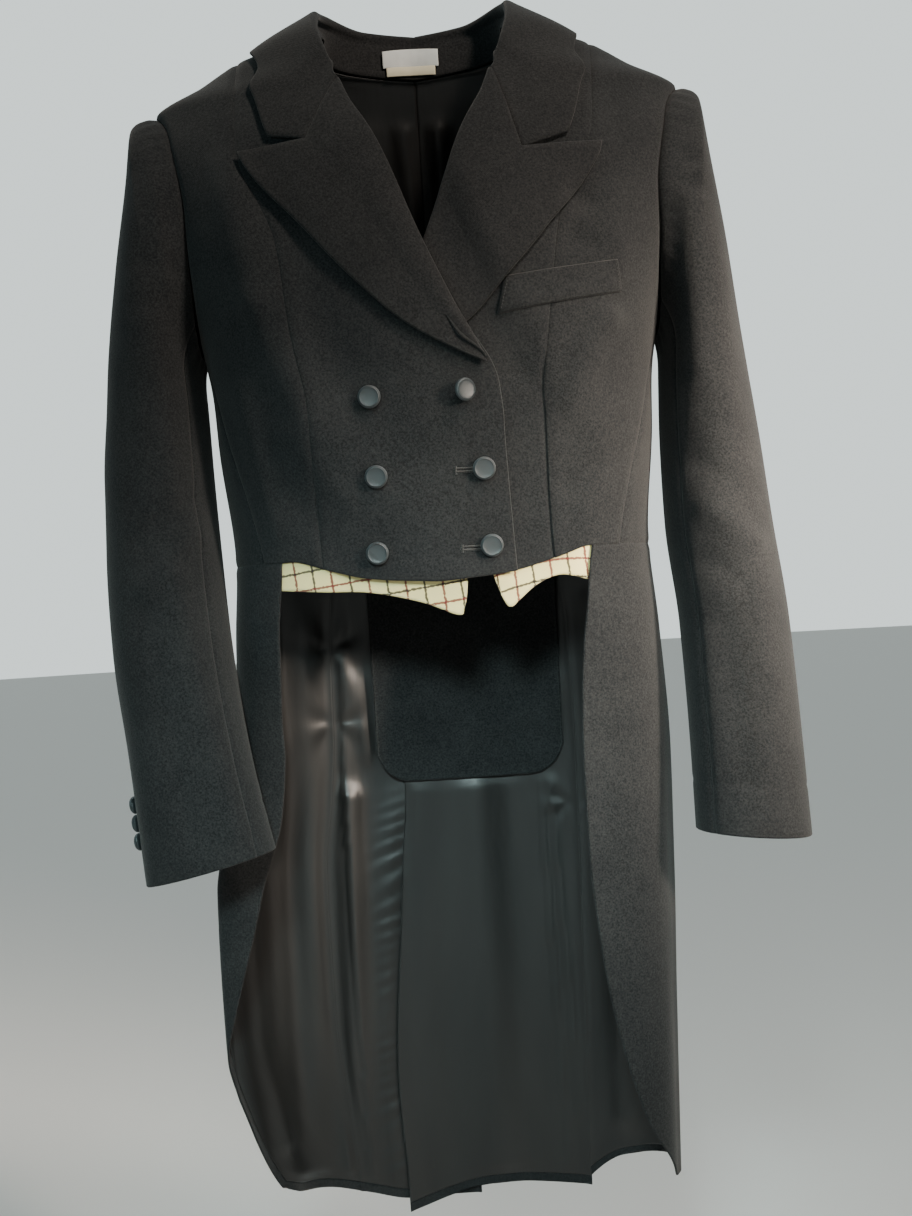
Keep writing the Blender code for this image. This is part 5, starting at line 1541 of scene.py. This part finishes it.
def fall_grid(side, columns, rows):
    """Outer face of one side of the collar's fall, its outward normals, and the stations' shares."""
    share = np.linspace(0.0, 1.0, columns)
    keys = np.linspace(0.0, 1.0, len(COLLAR_STATIONS))
    table = np.stack([curve(keys, COLLAR_STATIONS[:, column], share) for column in range(7)], axis=-1)
    seam = form(side * table[:, 0], table[:, 1])
    fold = table[:, 2:5] * np.array([side, 1.0, 1.0])
    rise = (fold - seam) * (1.0 - ease(share, 0.85, 1.0))[:, None]
    corner_x, corner_height = NOTCH[side][1]
    corner = np.array([front_angle(corner_x, corner_height), corner_height])
    knots = np.vstack([gorge(side), corner])
    down = np.linspace(0.0, 1.0, rows)
    at = down * (len(knots) - 1)
    end = between_rows(knots, at)
    down = down[:, None]
    ending = ease(share, NOTCH_FROM, 1.0)[:, None]
    edge = table[:, 5:7] + ending * (corner - table[-1, 5:7])
    for _ in range(EDGE_EASINGS):
        edge[1:-1] = (edge[:-2] + 2.0 * edge[1:-1] + edge[2:]) / 4.0
    chart = (1 - down)[..., None] * table[None, :, 0:2] + down[..., None] * edge[None]
    straight = (1 - down) * table[-1, 0:2] + down * edge[-1]
    chart = chart + ending[None] * (end - straight)[:, None]
    swell = COLLAR_SWELL * np.sin(np.pi * down) * (1.0 - ending[None, :, 0])
    points = form(side * chart[..., 0], chart[..., 1], COLLAR_LIFT + COLLAR_CLOTH + swell)
    return points + rise[None] * (1 - down)[..., None], share


class COAT_OT_collar(bpy.types.Operator):
    """The collar in one: the fall, rolled over the fold, and the stand inside the neck."""
    bl_idname = "coat.collar"
    bl_label = "Collar"

    def execute(self, context):
        sheets, facings = [], []
        for side in (-1, 1):
            outer, share = fall_grid(side, FALL_COLUMNS, FALL_ROWS)
            normals = grid_normals(outer, np.array([0.0, 0.0, 1.0]))
            radius = COLLAR_ROLL_BACK + (COLLAR_ROLL_FRONT - COLLAR_ROLL_BACK) * ease(share, 0.45, 0.85)
            ending = 1.0 - ROLL_CLOSED * ease(share, *ROLL_CLOSES)
            sheet, facing = rolled(outer, normals, radius, LAPEL_TURN_IN * ending, ending)
            sheets.append(stand_down(sheet, side, share))
            stand = np.repeat(facing[:1], len(sheets[-1]) - len(facing), axis=0)
            facings.append(np.concatenate([stand, facing]))
        sheet, facing = (np.concatenate([halves[0][:, ::-1], halves[1][:, 1:]], axis=1)
                         for halves in (sheets, facings))
        around = np.arange(len(sheet))
        normals = grid_normals(sheet, sheet - sheet[around < ROLL_STEPS].mean(axis=(0, 1)))
        share = np.abs(np.linspace(-1.0, 1.0, sheet.shape[1]))[:, None]
        normals = unit(normals + (facing - normals) * ease(share, *ROLL_FACES))
        piece = shell("cloth_collar", sheet, sheet - normals * COLLAR_CLOTH, finish("facing_wool"),
                      COLLAR_CLOTH * RIM_SHARE)
        declare(piece, ("collar_fall", "collar_stand"), sheet)
        return {"FINISHED"}


def stand_down(sheet, side, share):
    """The sheet with its turned-in end drawn down to the neck seam, as the stand."""
    keys = np.linspace(0.0, 1.0, len(COLLAR_STATIONS))
    angle = curve(keys, COLLAR_STATIONS[:, 0], share)
    height = curve(keys, COLLAR_STATIONS[:, 1], share)
    seam = form(side * angle, height)
    foot = seam + unit(-seam * np.array([1.0, 1.0, 0.0])) * STAND_FOOT_IN
    short = ease(share, *STAND_ENDS)[:, None]
    foot = foot * (1 - short) + sheet[0] * short
    top = sheet[2]
    steps = np.linspace(0.0, 1.0, 12)[:, None, None]
    stand = foot[None] * (1 - steps) + top[None] * steps
    return np.concatenate([stand, sheet[3:]])


def lapel_chart(side, lines, rows):
    """A lapel's fine chart: rows from the gorge down to the break, columns from the roll to the edge."""
    edge = LAPEL_EDGE[side]
    knots = np.vstack([gorge(side), seen_line(NOTCH[side][0], NOTCH[side][2], GORGE_STEPS)[1:]])
    top = between_rows(knots, np.linspace(0.0, len(knots) - 1, lines))
    roll_heights = np.linspace(GORGE_TOP[1], LAPEL_END + 0.003, rows)
    across = curve(FRONT_EDGE[:, 1], FRONT_EDGE[:, 0], roll_heights)
    across += ROLL_ROOM * ease(GORGE_TOP[1] - roll_heights, 0.001, ROLL_ROOM_RUN)
    roll = seen(across, roll_heights)
    roll[0] = top[0]
    across = np.linspace(edge[0, 0], edge[-1, 0], rows)
    outer = seen(across, curve(edge[:, 0], edge[:, 1], across))
    return fill(top, line(roll[-1], outer[-1], lines - 1), roll, outer)


class COAT_OT_lapels(bpy.types.Operator):
    """Peaked lapels, rolled over the fronts' edges from inside."""
    bl_idname = "coat.lapels"
    bl_label = "Lapels"

    def execute(self, context):
        for side, word in SIDES:
            chart = lapel_chart(side, LAPEL_LINES, LAPEL_ROWS)
            over = np.linspace(0.0, 1.0, chart.shape[1])[None, :]
            down = np.linspace(0.0, 1.0, chart.shape[0])[:, None]
            dropped = front_out(chart, side)
            free = 1.0 + np.minimum(dropped / UNDER_DROP, 0.0).clip(-1.0)
            lift = LAPEL_EDGE_LIFT * over + LAPEL_ROLL * np.sin(np.pi * np.minimum(over * 2.2, 1.0))
            swell = LAPEL_SWELL * np.sin(np.pi * over) * np.sin(np.pi * down ** 0.7)
            out = dropped + LAPEL_LIFT[side] + (lift + swell) * free + COLLAR_CLOTH
            outer = form(side * chart[..., 0], chart[..., 1], out).swapaxes(0, 1)
            normals = grid_normals(outer, np.array([0.0, -1.0, 0.0]))
            ending = 1.0 - LAPEL_ROLL_CLOSED * ease(down[:, 0], *LAPEL_ROLL_CLOSES)
            radius = ((LAPEL_LIFT[side] + COLLAR_CLOTH + WOOL) / 2 + 0.0002) * ending
            sheet = rolled(outer, normals, radius, LAPEL_TURN_IN * ending)[0]
            showing = (np.arange(len(sheet)) > ROLL_STEPS + 3)[:, None, None]
            normals = grid_normals(sheet, showing * np.array([0.0, -1.0, 0.0]))
            piece = shell(f"cloth_lapel_{word}", sheet, sheet - normals * LAPEL_CLOTH,
                          finish("facing_wool"), LAPEL_CLOTH * RIM_SHARE)
            declare(piece, (f"lapel_{word}",), sheet)
        return {"FINISHED"}


class COAT_OT_welt(bpy.types.Operator):
    """The slanted chest welt, with its stitched ends."""
    bl_idname = "coat.welt"
    bl_label = "Chest welt"

    def execute(self, context):
        columns, rows = 50, 16
        top, foot = line(*WELT_TOP, columns), line(*WELT_FOOT, columns)
        down = np.linspace(0.0, 1.0, rows + 1)[:, None, None]
        points = top[None] * (1 - down) + foot[None] * down
        chart = seen(points[..., 0], points[..., 1])
        out = front_out(chart, 1) + WELT_LIFT + WOOL - 0.0005 * (1.0 - down[..., 0])
        form_piece("cloth_welt", ("chest_welt",), chart, 1, finish("coating_wool"), out, WOOL,
                   ("foot",))
        inset = WELT_STITCH_INSET
        for place, column, inwards in (("outer", -1, -inset), ("inner", 0, inset)):
            start, end = top[column] + (inwards, -inset), foot[column] + (inwards, inset)
            angle, height = seen_line(start, end, 12).T
            lift = front_out(chart[:1, column], 1)[0] + WELT_LIFT + WOOL
            run = stitch_run(f"welt_stitches_{place}", form(angle, height, lift), outward(angle, height),
                             finish("buttonhole_twist"), *WELT_STITCH)
        return {"FINISHED"}


class COAT_OT_vest_points(bpy.types.Operator):
    """The pair of checked waistcoat points below the fronts, with their turned and stitched edges."""
    bl_idname = "coat.vest_points"
    bl_label = "Waistcoat points"

    def execute(self, context):
        for word, table in VEST_POINTS.items():
            at = np.linspace(0, len(table) - 1, 90)
            lower = smooth_along(table, at)
            x, foot = lower[:, 0], lower[:, 1]
            top = hem_height(x) + VEST_TUCK
            down = np.linspace(0.0, 1.0, 16)[:, None]
            height = top * (1 - down) + foot * down
            spread = x[None] + 0.0 * height
            chart = seen(spread, height)
            behind_both = UNDER_DROP * ease(x, -0.092, -0.070) * (1.0 - ease(x, 0.074, 0.109))
            wave = 0.0005 * np.sin(spread / 0.011) * down
            out = -(WOOL + VEST_SEAT) - behind_both[None] + wave
            outer = form(chart[..., 0], chart[..., 1], out)
            inner = form(chart[..., 0], chart[..., 1], out - CHECK_CLOTH)
            piece = shell(f"check_point_{word}", outer, inner, finish("check_wool"),
                          CHECK_CLOTH * RIM_SHARE)
            lay_flat(piece, *CHECK_LAY[word])
            declare(piece, (f"vest_point_{word}",), outer)
            normals = outward(chart[-1, :, 0], chart[-1, :, 1])
            edge = outer[-1] * 0.75 + outer[-3] * 0.25
            run = stitch_run(f"point_stitches_{word}", edge[1:-1], normals[1:-1], finish("cream_thread"),
                             *POINT_STITCH)
        return {"FINISHED"}


def lay_flat(piece, slope, bow, bow_x):
    """Sets a piece's UV map to its x and height. Its level lines rise to the right by a slope, and are
    bowed up round an x by a curvature."""
    mesh = piece.data
    x, _, z = mesh_points(mesh)[mesh_corners(mesh)].T
    level = z - slope * x + bow * (x - bow_x) ** 2
    mesh.uv_layers["UVMap"].data.foreach_set("uv", np.stack([x + 0.10 * z, level], axis=-1).ravel())


def turned_button(name, node, seat, normal, radius, shank, sides, turn=0.0):
    """A button turned on its axis: the profile's radii and lifts carried round it, on a short shank.

    The profile is a shank, a flat back, a rounded edge, a low rim and a slightly dished face.
    """
    thickness = BUTTON_THICKNESS
    bevel = np.linspace(-0.5, 0.5, 9) * np.pi
    edge = np.stack([radius - thickness * 0.42 * (1 - np.cos(bevel)),
                     thickness * (0.46 + 0.46 * np.sin(bevel))], 1)
    face = np.array([(radius * 0.84, thickness * 0.93), (radius * 0.78, thickness * 0.86),
                     (radius * 0.60, thickness * 0.80), (radius * 0.30, thickness * 0.77)])
    profile = np.concatenate([[(BUTTON_SHANK * 0.8, -shank), (BUTTON_SHANK, -0.2 * shank),
                               (radius * 0.55, 0.0)], edge, face])
    wear = np.concatenate([np.zeros(3), 0.25 * np.ones(5), 0.55 * np.ones(4), [0.35, 0.1, 0.0, 0.0]])
    over = unit(np.cross([0.0, 0.0, 1.0], normal))
    rise = np.cross(normal, over)
    tilt = math.radians(turn)
    face_over = over * math.cos(tilt) + normal * math.sin(tilt)
    face_normal = normal * math.cos(tilt) - over * math.sin(tilt)
    angles = 2 * np.pi * np.arange(sides) / sides
    ring = np.cos(angles)[:, None] * face_over + np.sin(angles)[:, None] * rise
    centre = seat + normal * (shank + LAYER_GAP)
    points = centre + profile[:, 0, None, None] * ring + profile[:, 1, None, None] * face_normal
    points[0] = seat + normal * LAYER_GAP + profile[0, 0] * (np.cos(angles)[:, None] * over
                                                            + np.sin(angles)[:, None] * rise)
    number = np.arange(len(profile) * sides).reshape(len(profile), sides)
    quads = np.stack([number[:-1], np.roll(number[:-1], -1, 1), np.roll(number[1:], -1, 1), number[1:]], -1)
    bottom = len(profile) * sides
    caps = [[bottom, b, a] for a, b in zip(number[0], np.roll(number[0], -1))]
    caps += [[bottom + 1, a, b] for a, b in zip(number[-1], np.roll(number[-1], -1))]
    poles = np.stack([points[0].mean(0), centre + face_normal * thickness * 0.765])
    faces = [*quads.reshape(-1, 4).tolist(), *caps]
    mesh_points = np.concatenate([points.reshape(-1, 3), poles])
    piece = new_mesh(name, mesh_points, np.array(faces, dtype=object), finish("slate_button"))
    rim = piece.data.attributes.new("rim_wear", "FLOAT", "POINT")
    rim.data.foreach_set("value", np.concatenate([np.repeat(wear, sides), [0.0, 0.0]]).astype(np.float32))
    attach(piece, "root")
    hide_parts(node)
    return piece


class COAT_OT_buttons(bpy.types.Operator):
    """Six front buttons and the three touching buttons of each cuff."""
    bl_idname = "coat.buttons"
    bl_label = "Buttons"

    def execute(self, context):
        sizes = context.scene.coat_sizes
        for number, (x, height, shank, turn) in enumerate(FRONT_BUTTONS, start=1):
            angle = front_angle(x, height)
            turned_button(f"front_button_{number}", f"button_{number}", form(angle, height),
                          outward(angle, height), sizes.button_radius, shank, BUTTON_SIDES, turn)
        for side, word in SIDES:
            turn = HIND_SEAM_TURN[side] - ARMHOLE_STEP / 2
            for number in range(CUFF_BUTTON_COUNT):
                height = CUFF_HEIGHT[side] + CUFF_BUTTON_START + CUFF_BUTTON_PITCH * number
                seat, normal = cuff_spot(turn, height, side)
                place = f"{word}_{number + 1}"
                turned_button(f"sleeve_button_{place}", f"cuff_button_{place}", seat, normal,
                              CUFF_BUTTON_RADIUS, CUFF_BUTTON_SHANK, CUFF_BUTTON_SIDES)
        return {"FINISHED"}


def cuff_spot(turn, height, side):
    """A point on a sleeve at a turn and a height, and its outward direction."""
    top, foot = sleeve_points(turn, 0.0, side)[2], sleeve_points(turn, 1.0, side)[2]
    share = (top - height) / (top - foot)
    along = sleeve_points(turn, share + 0.01, side) - sleeve_points(turn, share - 0.01, side)
    around = sleeve_points(turn + 2.0, share, side) - sleeve_points(turn - 2.0, share, side)
    return sleeve_points(turn, share, side), unit(side * np.cross(along, around))


class COAT_OT_buttonholes(bpy.types.Operator):
    """Worked buttonholes: a ridged purl of twist round each slit, and a bar across its inner end."""
    bl_idname = "coat.buttonholes"
    bl_label = "Buttonholes"

    def execute(self, context):
        for number, (start, end, height) in enumerate(BUTTONHOLES, start=1):
            turns = np.linspace(0.5 * np.pi, 1.5 * np.pi, 15)
            run = np.linspace(end, start, 70)
            level = 0.0 * run + height
            x = np.concatenate([run, start + SLIT_HALF_GAP * np.cos(turns), run[::-1]])
            z = np.concatenate([level + SLIT_HALF_GAP, height + SLIT_HALF_GAP * np.sin(turns),
                                level - SLIT_HALF_GAP])
            angle = front_angle(x, z)
            purl = PURL_RADIUS * (1.0 + 0.22 * np.cos(np.arange(len(x)) * np.pi * 0.66))
            points, faces = section_tube(form(angle, z, 0.0001), outward(angle, z), purl, sides=8)
            z = np.linspace(height - BAR_HALF_LENGTH, height + BAR_HALF_LENGTH, 18)
            angle = front_angle(np.full(18, start - 0.0006), z)
            bar_points, bar_faces = section_tube(form(angle, z, 0.0003), outward(angle, z), PURL_RADIUS,
                                                 sides=8)
            faces = np.concatenate([faces, bar_faces + len(points)])
            piece = new_mesh(f"buttonhole_{number}", np.concatenate([points, bar_points]), faces,
                             finish("buttonhole_twist"))
            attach(piece, "root")
        return {"FINISHED"}


class COAT_OT_labels(bpy.types.Operator):
    """Two bare labels inside the collar stand: a woven one with a bowed top, and a size tag under it."""
    bl_idname = "coat.labels"
    bl_label = "Labels"

    def execute(self, context):
        for node, tape in (("label_woven", "woven_label_tape"), ("label_size", "size_label_tape")):
            low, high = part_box(node)
            across = np.linspace(0.0, 1.0, 41)
            down = np.linspace(0.0, 1.0, 15)[:, None]
            left, right, face, upper, lower = label_face(node)
            x = left + (right - left) * across
            bow = 0.0016 if node == "label_woven" else 0.0004
            top = high.z - bow + bow * np.sin(np.pi * across)
            foot = low.z + 0.0006 * np.sin(np.pi * across)
            z = top * (1 - down) + foot * down
            y_line = np.interp(x, *face.T)
            lean = upper * (1 - down) + lower * down
            y = y_line[None] + lean - 0.0006 * np.sin(np.pi * down) - 0.0003 * np.sin(9.0 * across[None])
            outer = np.stack([x[None] + 0.0 * z, y, z], axis=-1)
            inner = outer + np.array([0.0, 0.0005, 0.0])
            piece = shell(f"tape_{node}", outer, inner, finish(tape), 0.0002)
            declare(piece, (node,), outer, LABEL_TURN_IN)
        return {"FINISHED"}


def label_face(node):
    """A label node's ends in x, the run of its face from above, and how it leans at top and foot."""
    points = mesh_points(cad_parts[node].data)
    middle = (points[:, 2].min() + points[:, 2].max()) / 2
    order = np.unique(np.round(points[:, 0], 3))
    face = np.array([(x, points[np.abs(points[:, 0] - x) < 0.0015][:, 1].min()) for x in order])
    upper = points[points[:, 2] > middle][:, 1].min() - points[:, 1].min()
    lower = points[points[:, 2] < middle][:, 1].min() - points[:, 1].min()
    return points[:, 0].min(), points[:, 0].max(), face, upper, lower


class COAT_OT_stage(bpy.types.Operator):
    """Pale floor, soft studio lights and the camera at the picture's angle."""
    bl_idname = "coat.stage"
    bl_label = "Stage"

    def execute(self, context):
        scene = context.scene
        number = np.arange(FLOOR_SIDES)
        angles = np.linspace(0.0, 2 * np.pi, FLOOR_SIDES + 1)[:-1]
        rim = np.stack([FLOOR_REACH * np.cos(angles), FLOOR_REACH * np.sin(angles),
                        np.full(FLOOR_SIDES, FLOOR_HEIGHT)], axis=-1)
        points = np.concatenate([rim, [(0.0, 0.0, FLOOR_HEIGHT)]])
        faces = np.stack([number, (number + 1) % FLOOR_SIDES, np.full(FLOOR_SIDES, FLOOR_SIDES)], axis=-1)
        new_mesh("floor", points, faces, finish("painted_floor"))
        for name, place, target, size, spread, power, colour in LIGHTS:
            lamp = bpy.data.lights.new(name, "AREA")
            lamp.shape = "DISK"
            lamp.size = size
            lamp.spread = math.radians(spread)
            lamp.energy = power
            lamp.color = linear(colour)
            holder = bpy.data.objects.new(name, lamp)
            holder.location = place
            aim = Vector(target) - Vector(place)
            holder.rotation_euler = aim.to_track_quat("-Z", "Y").to_euler()
            scene.collection.objects.link(holder)
        world = bpy.data.worlds.new("studio_air")
        world.use_nodes = True
        air = world.node_tree.nodes["Background"]
        air.inputs["Color"].default_value = (*linear("e9f4f3"), 1.0)
        sky = add_node(world.node_tree, "ShaderNodeSeparateXYZ", {},
                       {"Vector": add_node(world.node_tree, "ShaderNodeTexCoord").outputs["Generated"]})
        glow = add_node(world.node_tree, "ShaderNodeMapRange", {"interpolation_type": "SMOOTHSTEP"},
                        {"Value": sky.outputs["Y"], "From Min": -0.1, "From Max": 0.75,
                         "To Min": AIR_IN_FRONT, "To Max": AIR_BEHIND})
        world.node_tree.links.new(glow.outputs["Result"], air.inputs["Strength"])
        scene.world = world
        camera_data = bpy.data.cameras.new("camera")
        camera_data.lens = CAMERA_LENS
        camera_data.sensor_fit = "VERTICAL"
        camera_data.sensor_height = 36.0
        camera = bpy.data.objects.new("camera", camera_data)
        roll = math.radians(CAMERA_ROLL)
        right = Vector((math.cos(roll), 0.0, -math.sin(roll)))
        up = Vector((math.sin(roll), 0.0, math.cos(roll)))
        turn = Matrix((right, up, Vector((0.0, -1.0, 0.0)))).transposed()
        camera.matrix_world = Matrix.Translation(CAMERA_PLACE) @ turn.to_4x4()
        scene.collection.objects.link(camera)
        scene.camera = camera
        return {"FINISHED"}


STEPS = (
    "fronts", "backs", "skirts", "linings", "saddle_patch", "sleeves", "collar", "lapels", "welt",
    "vest_points", "buttons", "buttonholes", "labels", "stage",
)


class COAT_PT_panel(bpy.types.Panel):
    """Sizes, colours and the steps that build the coat."""
    bl_idname = "COAT_PT_panel"
    bl_label = "Shadbelly coat"
    bl_space_type = "VIEW_3D"
    bl_region_type = "UI"
    bl_category = "Coat"

    def draw(self, context):
        for group in (context.scene.coat_sizes, context.scene.coat_colours):
            for name in group.__annotations__:
                self.layout.prop(group, name)
        for step in STEPS:
            self.layout.operator(f"coat.{step}")


CLASSES = (
    CoatSizes, CoatColours, COAT_OT_fronts, COAT_OT_backs, COAT_OT_skirts, COAT_OT_linings,
    COAT_OT_saddle_patch, COAT_OT_sleeves, COAT_OT_collar, COAT_OT_lapels, COAT_OT_welt,
    COAT_OT_vest_points, COAT_OT_buttons, COAT_OT_buttonholes, COAT_OT_labels, COAT_OT_stage, COAT_PT_panel,
)


def register():
    for kind in CLASSES:
        bpy.utils.register_class(kind)
    bpy.types.Scene.coat_sizes = bpy.props.PointerProperty(type=CoatSizes)
    bpy.types.Scene.coat_colours = bpy.props.PointerProperty(type=CoatColours)


def unregister():
    del bpy.types.Scene.coat_colours
    del bpy.types.Scene.coat_sizes
    for kind in reversed(CLASSES):
        bpy.utils.unregister_class(kind)


def main():
    register()
    for step in STEPS:
        getattr(bpy.ops.coat, step)()


if __name__ == "__main__":
    main()
